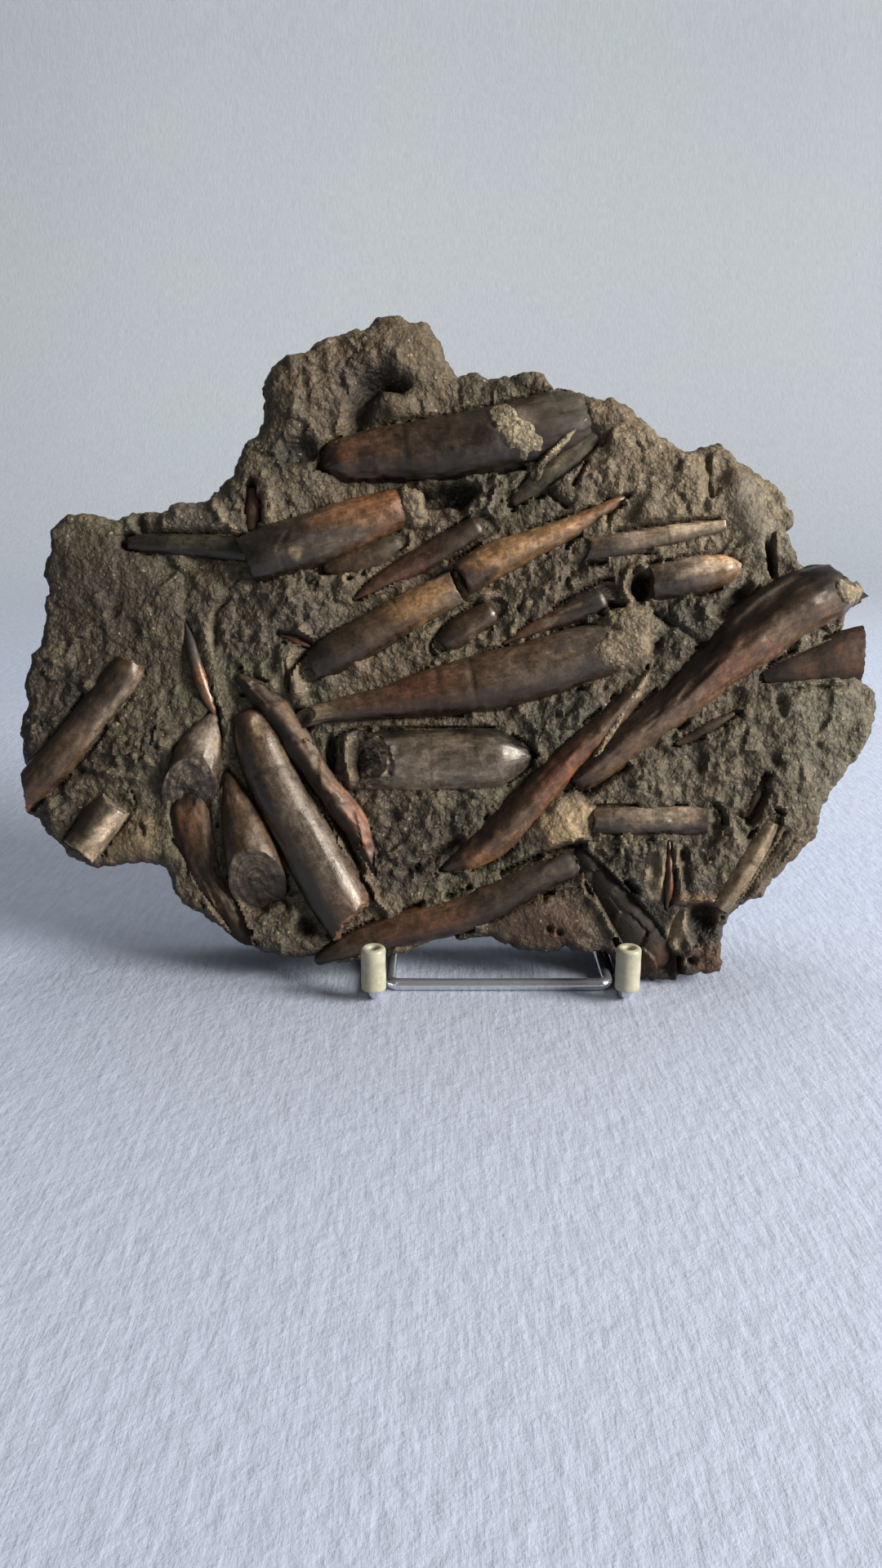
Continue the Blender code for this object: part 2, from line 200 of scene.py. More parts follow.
def cellsOf(places, size, seed):
    # for each place: the distance to its grain's middle, two random numbers, and the way there
    at = np.asarray(places, float) / size + seed * 5.77
    cell = np.floor(at).astype(np.int64)
    nearest, chosen, away = np.full(len(at), 9.0), np.zeros((len(at), 2)), np.zeros((len(at), 3))
    for step in np.ndindex(3, 3, 3):
        near = cell + np.array(step) - 1
        jitter = np.stack([shuffled(near, seed + k) for k in (1, 2, 3)], axis=1)
        offset = at - near - jitter
        distance = np.sqrt((offset ** 2).sum(axis=1))
        nearer = distance < nearest
        chosen[nearer], away[nearer], nearest[nearer] = jitter[nearer, :2], offset[nearer], distance[nearer]
    return nearest, *chosen.T, away


def pebbles(places, size, seed=0):
    # rounded grains with seams between them, from about -0.4 to 0.5
    nearest, pick1, pick2, away = cellsOf(places, size, seed)
    return 0.75 * np.sqrt(np.maximum(1 - (nearest / 0.95) ** 2, 0)) - 0.5 + 0.4 * (pick1 - 0.5)


def chips(places, size, seed=0):
    # broken angular facets, each with a tilt and level of its own
    nearest, pick1, pick2, away = cellsOf(places, size, seed)
    return 1.7 * ((pick1 - 0.5) * away[:, 0] + (pick2 - 0.5) * away[:, 1]) + 0.3 * (pick2 - 0.5)


def throughKnots(t, knots, values):
    # a smooth curve through the given values
    slopes = np.gradient(values, knots)
    i = np.clip(np.searchsorted(knots, t) - 1, 0, len(knots) - 2)
    span = knots[i + 1] - knots[i]
    s = np.clip((t - knots[i]) / span, 0, 1)
    return ((1 + 2 * s) * (1 - s) ** 2 * values[i] + s * (1 - s) ** 2 * span * slopes[i]
            + s * s * (3 - 2 * s) * values[i + 1] + s * s * (s - 1) * span * slopes[i + 1])


def blob(u, v, x, y, reachX, reachY, turn):
    # 0 in the middle of an ellipse on the drawing grid, 1 at its rim
    cu, cv = onPlate(x, y)
    angle = math.radians(turn)
    du, dv = u - cu, v - cv
    along = du * math.cos(angle) + dv * math.sin(angle)
    across = -du * math.sin(angle) + dv * math.cos(angle)
    return np.hypot(along / (reachX / plate["stepsPerMm"]), across / (reachY / plate["stepsPerMm"]))


def spread(places, rows, near, far, stir=0.0):
    # how strongly each row's ellipse reaches each place, and what else the row says
    for row in rows:
        yield 1 - ramp(blob(places[:, 0], places[:, 1], *row[:5]) + stir, near, far), *row[5:]


def alongLine(u, v, corners):
    # for each place: the distance to a line of corners (u, v), its side, and how far along it lies
    best = np.full(len(u), 1e9)
    side, run, walked = np.zeros(len(u)), np.zeros(len(u)), 0.0
    for (au, av), (bu, bv) in zip(corners, corners[1:]):
        eu, ev = bu - au, bv - av
        length = math.hypot(eu, ev)
        part = np.clip(((u - au) * eu + (v - av) * ev) / length ** 2, 0, 1)
        du, dv = u - au - part * eu, v - av - part * ev
        distance = np.hypot(du, dv)
        nearer = distance < best
        best = np.where(nearer, distance, best)
        side = np.where(nearer, np.sign(eu * dv - ev * du), side)
        run = np.where(nearer, walked + part * length, run)
        walked += length
    return best, side, run, walked


def isInside(u, v, corners):
    inside = np.zeros(len(u), dtype=bool)
    for (au, av), (bu, bv) in zip(corners, np.roll(corners, -1, axis=0)):
        if av != bv:
            inside ^= ((av > v) != (bv > v)) & (u < (bu - au) * (v - av) / (bv - av) + au)
    return inside


def nearLine(line):
    # gives a function that finds the nearest of a closed line's places, and how far off it is
    tree = KDTree(len(line))
    for i, (a, b) in enumerate(line):
        tree.insert((a, b, 0), i)
    tree.balance()

    def find(u, v):
        found = [tree.find((a, b, 0)) for a, b in zip(u, v)]
        return line[[hit[1] for hit in found]], np.array([hit[2] for hit in found])
    return find


# The guards. Their colours, the last of them a pale tone for painted highlights:
tones = {
    "darkBrown": (60, 47, 37), "umber": (88, 69, 53), "redBrown": (94, 63, 47), "golden": (174, 134, 94),
    "greyBrown": (96, 84, 73), "paleGrey": (128, 115, 101), "pinkGrey": (140, 122, 108),
    "orangeGrey": (100, 81, 64), "redUmber": (98, 71, 54), "charcoal": (40, 37, 33), "greenGrey": (84, 79, 64),
    "black": (24, 20, 17), "rust": (116, 74, 50), "bone": (166, 146, 121), "orange": (152, 108, 74),
    "violet": (56, 48, 47), "paintedHighlight": (206, 184, 160),
}

# spine: stations (x, y, height, radius), heights and radii in mm, and out is how far the back
# rises as a share of the radius; breaks: the ends broken off flat (the plane's turn across the
# face and its tip out of it in degrees, depth of the worn middle, how far back, roughness),
# where every other end is rounded; bands: tones from its first end on; sides: (direction, how
# much lighter or darker the flank that way is), painted light and painted shade; stains: (x, y,
# reach right, reach up, turn, tone, amount), some of them painted shade and painted highlights
# as noted at each guard, worn: the same without tone, dents: with a depth; cracks: how far
# along, 0 to 1; gaps: how open the rock is beside it on its left and right; keel: how like a
# roof its back is; face and heart: the tone of its broken end and how dark its middle is.
print("guards: reading their spines")
guards = {
    # the black stain along this guard's lower side is painted shade
    "top_big": {"out": 0.82, "rough": 1.8, "cracks": [0.32, 0.47, 0.86], "sides": [(280, -0.4)],
        "bands": "redBrown redUmber darkBrown darkBrown darkBrown charcoal",
        "spine": [(390, 575, -1.6, 0.3), (402, 569, -1.5, 3.8), (440, 560, -1.5, 6.1), (500, 553, -1.4, 7.2),
            (560, 546, -1.3, 8), (620, 534, -1.4, 8.3), (690, 517, -2.6, 8.1), (728, 506, -5.4, 6.4)],
        "stains": [(425, 560, 26, 12, 0, "rust", 0.5), (500, 588, 70, 14, -5, "black", 0.8),
            (600, 510, 40, 14, -10, "charcoal", 0.7), (690, 495, 40, 16, -10, "greenGrey", 0.6),
            (480, 530, 60, 8, -10, "umber", 0.5), (630, 560, 50, 16, -5, "charcoal", 0.7),
            (631, 531, 24, 25, 0, "paleGrey", 0.9)],
        "worn": [(690, 510, 60, 44, -15, 0.9), (600, 600, 70, 16, 0, 0.6), (632, 532, 32, 32, 0, 1)],
        "dents": [(676, 498, 44, 20, -12, 1.3), (600, 520, 30, 12, -10, 0.3)]},
    # the black stain on this guard's left end is painted shade
    "upper_left": {"out": 0.8, "cracks": [0.2], "sides": [(290, -0.3)],
        "breaks": {"start": (10, 12, 0.6, 0, 0.1)}, "bands": "darkBrown charcoal orangeGrey orange rust",
        "spine": [(300, 688, 0.3, 5.8), (318, 683, 0.5, 6.5), (350, 672, 0.5, 6.8), (400, 655, 0.2, 6.6),
            (450, 636, -0.3, 5.9), (490, 621, -0.9, 4.8), (503, 616, -1.2, 3.6)],
        "stains": [(400, 668, 60, 14, 15, "greyBrown", 0.9), (430, 630, 60, 9, 18, "orange", 0.7),
            (367, 682, 8, 10, 0, "bone", 0.8), (307, 690, 22, 34, 0, "black", 0.9)],
        "dents": [(350, 668, 4, 22, -30, 0.35), (395, 668, 50, 8, 15, 0.5)]},
    "left_thin": {"out": 0.8, "breaks": {"start": (0, 10, 0.3, 0, 0.1)},
        "bands": "darkBrown charcoal greenGrey charcoal black",
        "spine": [(156, 665, -0.8, 1.6), (170, 665, -0.5, 2.1), (240, 668, -0.3, 2.8), (312, 676, -0.3, 3.4)],
        "stains": [(240, 676, 50, 4, 0, "black", 0.9)]},
    "small_lens": {"out": 0.7, "bands": "umber umber greenGrey",
        "spine": [(393, 698, -1.2, 1.8), (420, 690, -0.9, 3.3), (455, 678, -0.9, 3.6), (492, 662, -1.2, 2.4)]},
    "red_tip": {"out": 0.8, "bands": "rust redBrown redBrown darkBrown darkBrown",
        "spine": [(433, 734, -0.4, 0.2), (450, 723, -0.4, 1.5), (480, 705, -0.5, 2.4), (520, 684, -0.6, 3.1),
            (560, 661, -0.8, 3.4), (592, 642, -1, 3.2)],
        "stains": [(500, 692, 30, 5, 32, "black", 0.5)]},
    # the charcoal stain on this guard's left end is partly its own dark end and partly painted shade
    "middle_stub": {"out": 0.9, "cracks": [0.55, 0.63, 0.7], "sides": [(300, -0.4)],
        "breaks": {"start": (-15, 20, 0.8, 0, 0.1), "end": (0, 10, 0.4, 0, 0.1)},
        "bands": "darkBrown darkBrown umber golden bone",
        "spine": [(380, 822, -0.6, 3.8), (394, 812, -0.4, 4.7), (440, 785, 0, 4.9), (500, 750, 0.3, 4.7),
            (560, 720, 0.4, 4.3)],
        "stains": [(392, 815, 22, 34, 0, "charcoal", 0.8), (530, 728, 26, 12, 30, "golden", 0.8),
            (480, 778, 60, 8, 28, "redBrown", 0.5)]},
    "golden": {"out": 1, "cracks": [0.12], "sides": [(298, -0.5)], "breaks": {"start": (0, 15, 0.8, 0, 0.1)},
        "bands": "umber golden golden golden golden orange golden",
        "spine": [(563, 712, 0.5, 4.6), (600, 690, 0.6, 4.7), (650, 667, 0.4, 3.7), (700, 645, 0.1, 2.6),
            (740, 623, -0.1, 1.6), (766, 609, -0.2, 0.7), (771, 607, -0.3, 0.15)],
        "stains": [(590, 712, 20, 8, 30, "umber", 0.8), (700, 664, 40, 4, 28, "redBrown", 0.6)]},
    "centre_dark": {"out": 0.8, "breaks": {"start": (0, 15, 0.3, 0, 0.1)},
        "bands": "darkBrown umber darkBrown",
        "spine": [(540, 790, -1.2, 2.4), (553, 780, -1, 3.4), (580, 762, -1.2, 3.6), (608, 744, -1.6, 3)]},
    "dark_slip": {"out": 0.7, "bands": "rust redBrown darkBrown charcoal",
        "spine": [(617, 788, -0.8, 0.3), (650, 771, -0.9, 1.7), (700, 748, -1.2, 3), (744, 730, -1.6, 3.7)],
        "stains": [(672, 762, 12, 6, 20, "bone", 0.7), (700, 745, 14, 4, 20, "bone", 0.5)]},
    # the thin black stain along this guard's lower side is painted shade
    "long_cone": {"out": 0.9, "heart": 0.9, "face": "bone", "cracks": [0.42, 0.52, 0.68], "sides": [(105, 0.3),
        (285, -0.5)], "breaks": {"start": (-12, 50, 0.5, 0.4, 0.1)},
        "bands": "bone umber redBrown redUmber umber umber greyBrown greyBrown",
        "spine": [(372, 881, 2.4, 2.3), (392, 875, 1.9, 2.5), (440, 866, 0.6, 3.4), (480, 860, 0.1, 4.4),
            (520, 851, -0.3, 5.7), (560, 843, -0.7, 6.7), (600, 835, -1, 7.4), (650, 822, -1.6, 7.5),
            (700, 806, -2, 7.3), (770, 787, -2.6, 7)],
        "stains": [(530, 848, 44, 14, 5, "rust", 0.45), (660, 828, 60, 20, 5, "greyBrown", 0.5),
            (575, 838, 4, 20, 10, "bone", 0.4), (430, 880, 50, 5, 8, "black", 0.4),
            (384, 877, 6, 12, 0, "black", 0.6)],
        "dents": [(690, 800, 40, 10, 10, 0.9), (575, 838, 5, 20, 10, 0.4)]},
    # the black stain along this guard's lower side is painted shade, and the pale streak along its top a
    # painted highlight
    "bullet": {"out": 0.82, "heart": 0.4, "face": "paleGrey", "cracks": [0.42, 0.66], "sides": [(90, 0.5),
        (270, -0.5)], "breaks": {"start": (0, 60, 1.2, -0.8, 0.8)},
        "bands": "umber greyBrown paleGrey greyBrown paleGrey greyBrown",
        "spine": [(436, 931, -1, 7.3), (480, 931, -1, 7.5), (560, 930, -1, 7.5), (600, 929, -1, 7.4),
            (614, 928, -1, 6.9), (632, 927, -1.1, 4.7), (648, 926, -1.3, 2.2), (657, 925, -1.5, 0.25)],
        "stains": [(560, 906, 80, 11, 0, "paintedHighlight", 0.55), (460, 935, 20, 26, 0, "black", 0.3),
            (560, 958, 70, 8, 0, "black", 0.4)],
        "worn": [(650, 926, 14, 20, 0, 0.3), (450, 930, 40, 40, 0, 0.5)],
        "dents": [(520, 930, 30, 3, 0, 0.35), (600, 908, 6, 5, 0, 0.3)]},
    # the dark brown stain on this guard's left flank is painted shade
    "crushed_ridge": {"out": 0.85, "rough": 2, "keel": 0.6, "facets": 1.3, "sides": [(215, -0.55), (35, 0.35)],
        "bands": "darkBrown darkBrown umber umber redUmber rust darkBrown",
        "spine": [(290, 826, 0, 1.6), (320, 852, 0.4, 3.2), (350, 887, 0.6, 3.5), (380, 932, 0.7, 3.3),
            (410, 977, 0.6, 3.6), (436, 1012, 0.4, 3.3), (452, 1050, 0, 1.5), (459, 1072, -0.4, 0.3)],
        "stains": [(440, 990, 20, 18, 0, "rust", 0.6), (345, 900, 14, 40, 40, "darkBrown", 0.6)],
        "worn": [(380, 950, 110, 160, 0, 0.5)]},
    # the two dark brown stains down this guard's left flank are painted shade
    "bright": {"out": 0.85, "rough": 0.45, "cracks": [0.28], "sides": [(207, -0.5)],
        "breaks": {"end": (15, 20, 0.4, 0, 0.4)},
        "bands": "umber umber greyBrown greyBrown greyBrown redUmber",
        "spine": [(299, 868, -1.2, 3.2), (308, 890, -0.9, 5), (330, 948, -0.6, 6.2), (372, 1026, -0.4, 6.9),
            (412, 1096, -0.6, 7.3), (432, 1130, -0.9, 6.6)],
        "stains": [(318, 885, 12, 16, 0, "bone", 0.8), (322, 985, 16, 60, 26, "darkBrown", 0.8),
            (382, 1085, 14, 50, 26, "darkBrown", 0.7), (388, 1040, 8, 60, 26, "paleGrey", 0.6)],
        "dents": [(318, 885, 9, 11, 0, 0.5)]},
    "left_stub": {"out": 0.85, "face": "paleGrey", "breaks": {"end": (6, 57, 0.5, 0.8, 0.25)},
        "bands": "greyBrown paleGrey greyBrown umber",
        "spine": [(262, 869, -1.6, 0.6), (254, 893, -0.8, 3.3), (243, 925, 0.2, 5.8), (236, 952, 0.8, 6.4),
            (232, 970, 1, 6.6)],
        "stains": [(225, 920, 14, 30, -20, "umber", 0.7)],
        "worn": [(250, 900, 30, 40, 0, 0.3)]},
    "lower_left": {"out": 0.52, "rough": 2.4, "keel": 0.2, "facets": 0.4, "gaps": (-0.3, -0.3),
        "sides": [(200, -0.5)], "bands": "umber redUmber umber umber darkBrown",
        "spine": [(231, 958, -5.6, 4.8), (232, 976, -3.6, 6), (232, 996, -2.6, 6.4), (240, 1032, -2.1, 5.6),
            (254, 1074, -2.1, 4.1), (278, 1114, -2.3, 3.5), (297, 1148, -2.8, 2.2), (303, 1160, -3, 0.6)],
        "stains": [(228, 976, 34, 14, 0, "black", 0.7), (226, 1012, 14, 26, 0, "rust", 0.35),
            (262, 1090, 14, 46, 26, "darkBrown", 0.85)]},
    "ring_end": {"out": 0.9, "face": "greyBrown", "breaks": {"end": (0, 56, 0.25, 2.2, 0.1)},
        "bands": "umber umber umber greyBrown",
        "spine": [(275, 944, -1.6, 0.6), (284, 970, -1, 2.9), (296, 1005, -0.2, 5), (306, 1040, 0.7, 6.4),
            (314, 1068, 1.2, 6.8), (318, 1092, 1.3, 6.8)],
        "stains": [(312, 1020, 10, 14, 0, "paleGrey", 0.6), (285, 1010, 8, 30, 0, "darkBrown", 0.6)]},
    "left_long": {"out": 0.9, "rough": 1.5, "cracks": [0.35, 0.62], "sides": [(139, -0.6), (319, 0.3)],
        "breaks": {"start": (10, 10, 0.4, 0, 0.1), "end": (-38, 24, 0.5, 0, 0.1)},
        "bands": "umber darkBrown darkBrown umber darkBrown redBrown",
        "spine": [(163, 809, -0.6, 3.2), (155, 822, -0.4, 4.1), (130, 855, -0.4, 4.4), (90, 903, -0.7, 4.7),
            (50, 950, -1.2, 4.7), (28, 974, -1.8, 3.6)],
        "stains": [(143, 865, 6, 66, -37, "paleGrey", 0.6), (40, 955, 14, 14, 0, "rust", 0.35)]},
    # the dark brown stain on this guard's left flank is painted shade, and the pale streak on its right flank a
    # painted highlight
    "left_short": {"out": 0.9, "sides": [(139, -0.6), (319, 0.8)],
        "breaks": {"start": (0, 10, 0.3, 0, 0.1), "end": (0, 20, 0.3, 0, 0.1)},
        "bands": "paleGrey greyBrown greyBrown bone",
        "spine": [(142, 984, -1, 4), (130, 998, -0.8, 4.7), (108, 1026, -0.8, 4.8), (94, 1044, -1, 4.5)],
        "stains": [(128, 1018, 7, 34, -38, "paintedHighlight", 0.7), (100, 1000, 16, 24, -40, "darkBrown", 0.9),
            (102, 1038, 20, 6, 0, "bone", 0.6)]},
    "needle": {"out": 0.9, "bands": "black black darkBrown orange orange rust",
        "spine": [(226, 762, -0.6, 0.2), (232, 785, -0.4, 1.3), (240, 815, -0.2, 1.7), (250, 845, -0.2, 1.7),
            (260, 870, -0.5, 0.8), (263, 878, -0.8, 0.2)],
        "worn": [(232, 785, 16, 34, 0, 0.8)]},
    "bottom": {"out": 0.85, "rough": 1.4, "cracks": [0.6], "sides": [(290, -0.5), (110, 0.2)],
        "bands": "darkBrown umber redBrown redUmber darkBrown darkBrown darkBrown",
        "spine": [(384, 1180, -2, 1), (400, 1172, -1.8, 2.2), (440, 1156, -1.6, 3.6), (480, 1142, -1.5, 4.3),
            (560, 1120, -1.5, 4.9), (600, 1104, -1.6, 4.9), (650, 1079, -2, 4.6), (708, 1056, -3.4, 3.9)],
        "stains": [(540, 1128, 60, 8, 18, "rust", 0.4), (640, 1068, 50, 12, 22, "violet", 0.5),
            (700, 1062, 24, 24, 0, "black", 0.5)],
        "worn": [(700, 1058, 26, 22, 0, 0.9)]},
    # the long dark brown stain on this guard's upper left flank is painted shade
    "right_big": {"out": 0.95, "rough": 1.8, "keel": 0.3, "cracks": [0.18, 0.43, 0.6], "sides": [(127, -0.8),
        (307, 0.8)], "breaks": {"start": (30, 25, 1.2, 0, 0.1)},
        "bands": "charcoal umber umber redUmber redUmber umber umber umber darkBrown",
        "spine": [(1046, 713, -1.2, 4.6), (1020, 722, -1, 7), (990, 734, -0.8, 7.8), (956, 752, -0.8, 8),
            (908, 789, -1, 7.5), (870, 822, -1.2, 6.3), (838, 852, -1.4, 5.4), (790, 890, -1.6, 5.1),
            (745, 925, -1.9, 4.8), (712, 950, -2.4, 4), (698, 962, -2.8, 2.8)],
        "stains": [(1005, 714, 34, 16, 30, "charcoal", 0.9), (895, 812, 36, 26, 40, "rust", 0.3),
            (880, 785, 60, 10, 42, "darkBrown", 0.6), (1005, 775, 24, 10, 30, "bone", 0.4),
            (927, 787, 5, 4, 0, "bone", 0.6)],
        "worn": [(1030, 715, 34, 26, 0, 0.9), (940, 720, 90, 14, 40, 0.5)],
        "dents": [(930, 745, 70, 9, 38, 0.7), (850, 835, 60, 5, 45, 0.4)]},
    "crossing": {"out": 0.9, "rough": 1.6, "keel": 0.3, "cracks": [0.3, 0.7], "sides": [(135, -0.5),
        (315, 0.3)], "bands": "umber umber redBrown rust redUmber umber orange darkBrown",
        "spine": [(778, 846, -0.4, 2.6), (755, 872, 0, 3.1), (728, 898, 0.2, 3.5), (695, 930, 0.2, 3.9),
            (665, 963, 0, 4.3), (630, 1000, -0.3, 4.8), (600, 1030, -0.6, 4.7), (570, 1052, -1, 3.4),
            (540, 1066, -1.6, 1)],
        "stains": [(695, 925, 14, 40, -40, "rust", 0.5), (640, 1000, 30, 8, 42, "darkBrown", 0.6),
            (585, 1062, 16, 30, -30, "orange", 0.6)]},
    "right_cone": {"out": 0.42, "gaps": (0.6, -0.6), "cracks": [0.62, 0.72], "sides": [(100, -0.5)],
        "breaks": {"start": (0, 10, 0.3, 0, 0.1), "end": (-14, 4, 0.2, 0, 0.1)},
        "bands": "black darkBrown redBrown darkBrown redBrown redBrown",
        "spine": [(937, 829, -1.6, 1.7), (960, 823, -1.6, 3.2), (1000, 812, -1.8, 5), (1040, 803, -2.2, 6.4),
            (1060, 799, -2.6, 6.8)],
        "stains": [(1015, 788, 44, 12, 22, "black", 0.7), (985, 805, 30, 10, 25, "darkBrown", 0.7)]},
    # this guard's charcoal face and the violet stain on its left end are painted shade, and the pale streaks
    # along its top painted highlights
    "upper_right_thin": {"out": 0.95, "face": "charcoal", "cracks": [0.44, 0.6], "sides": [(99, 0.6),
        (279, -0.5)], "breaks": {"start": (-12, 42, 0.9, -0.9, 0.1), "end": (0, 8, 0.2, 0, 0.1)},
        "bands": "umber greyBrown pinkGrey bone pinkGrey bone",
        "spine": [(712, 675, -0.8, 3.5), (760, 668, -0.6, 3.3), (800, 660, -0.5, 3), (850, 651, -0.2, 2.3),
            (880, 645, -0.1, 1.6), (889, 643, -0.1, 1.4)],
        "stains": [(800, 664, 80, 5, 9, "bone", 0.5), (848, 648, 44, 6, 9, "paintedHighlight", 0.85),
            (718, 676, 12, 22, 0, "violet", 0.8)]},
    # the pale streak along this guard's top is a painted highlight
    "lit": {"out": 0.95, "sides": [(101, 0.8), (281, -0.5)], "breaks": {"start": (0, 10, 0.5, 0, 0.1)},
        "bands": "greyBrown greyBrown pinkGrey golden pinkGrey",
        "spine": [(795, 714, -0.8, 4.5), (830, 709, -0.6, 4.8), (870, 702, -0.4, 4.4), (897, 695, -0.4, 2.9),
            (909, 691, -0.6, 0.4)],
        "stains": [(862, 699, 44, 9, 9, "paintedHighlight", 0.75), (850, 724, 50, 6, 10, "redBrown", 0.5),
            (800, 712, 9, 26, 0, "darkBrown", 0.7)]},
    # the black stain on this guard's left end is painted shade, and the pale streak on its top a painted
    # highlight
    "cylinder": {"out": 0.95, "cracks": [0.55, 0.9], "sides": [(90, 0.4), (270, -0.5)],
        "breaks": {"start": (0, 18, 0.6, 0, 0.1), "end": (0, 6, 0.2, 0, 0.1)},
        "bands": "umber greyBrown pinkGrey paleGrey pinkGrey greyBrown",
        "spine": [(722, 1006, -0.5, 3.3), (740, 1006, -0.4, 3.45), (800, 1005, -0.4, 3.5),
            (866, 1004, -0.4, 3.5)],
        "stains": [(832, 1000, 30, 9, 0, "bone", 0.6), (716, 1005, 10, 20, 0, "black", 0.8)],
        "dents": [(832, 1000, 28, 10, 0, 0.5)]},
    # this guard gets less painted shade on its flank away from the window
    "edge_strip": {"out": 1, "keel": 0.6, "gaps": (-0.4, -0.5), "leeShade": 0.1, "cracks": [0.45],
        "breaks": {"start": (10, 12, 0.1, 0, 0.1), "end": (0, 8, 0.1, 0, 0.1)},
        "bands": "bone bone bone paleGrey",
        "spine": [(947, 1006, -0.8, 2.4), (930, 1036, -0.7, 3), (905, 1076, -0.8, 3.2),
            (881, 1114, -1.3, 2.9)]},
    "small_dark": {"out": 0.8, "bands": "charcoal darkBrown",
        "spine": [(938, 949, -0.5, 0.8), (926, 975, -0.4, 1.3), (914, 1003, -0.5, 0.6)]},
    "charcoal": {"out": 0.34, "rough": 0.8, "keel": 0.5, "facets": 1.3, "gaps": (-0.5, -0.4),
        "bands": "charcoal black black charcoal darkBrown",
        "spine": [(708, 1040, -1.6, 1.3), (730, 1070, -1.8, 3.4), (760, 1110, -2.4, 5), (785, 1145, -3, 6.2),
            (802, 1178, -3.6, 6.6), (808, 1194, -4.2, 5.2)],
        "stains": [(722, 1075, 5, 44, -20, "greenGrey", 0.9), (800, 1175, 24, 24, 0, "redBrown", 0.5)]},
    "red_blade": {"out": 1.1, "bands": "redBrown rust redBrown",
        "spine": [(819, 1031, 0.2, 0.4), (819, 1060, 0.6, 1), (818, 1090, 0.6, 1.05), (816, 1112, 0.2, 0.4)]},
    # the pale strip along this guard's middle is a painted highlight
    "greenish": {"out": 0.62, "gaps": (-0.2, -0.5), "sides": [(133, 0.35), (313, -0.4)],
        "bands": "greenGrey greenGrey greenGrey greyBrown",
        "spine": [(734, 528, -2.2, 2.8), (700, 558, -1.6, 3.5), (660, 590, -1.5, 3.1), (626, 617, -1.8, 1.3)],
        "stains": [(694, 560, 44, 4, 42, "bone", 0.45)]},
    "under_right": {"out": 0.9, "bands": "umber darkBrown umber",
        "spine": [(902, 873, -0.9, 0.8), (865, 892, -0.8, 1.7), (826, 913, -1.1, 0.8)]},
    "strip": {"out": 0.7, "bands": "darkBrown redBrown umber",
        "spine": [(308, 594, -0.6, 1.4), (309, 615, -0.4, 1.8), (309, 652, -0.7, 1.6)]},
    "sliver": {"out": 0.8, "bands": "rust orange redBrown",
        "spine": [(342, 778, -0.4, 0.3), (360, 784, -0.2, 1), (379, 792, -0.5, 0.4)]},
}

for guard in guards.values():
    guard["centre"] = np.array([(*onPlate(x, y), w) for x, y, w, radius in guard["spine"]])
    guard["radius"] = np.array([station[3] for station in guard["spine"]], float)
    steps = np.linalg.norm(np.diff(guard["centre"], axis=0), axis=1)
    guard["knots"] = np.concatenate(([0], np.cumsum(steps)))

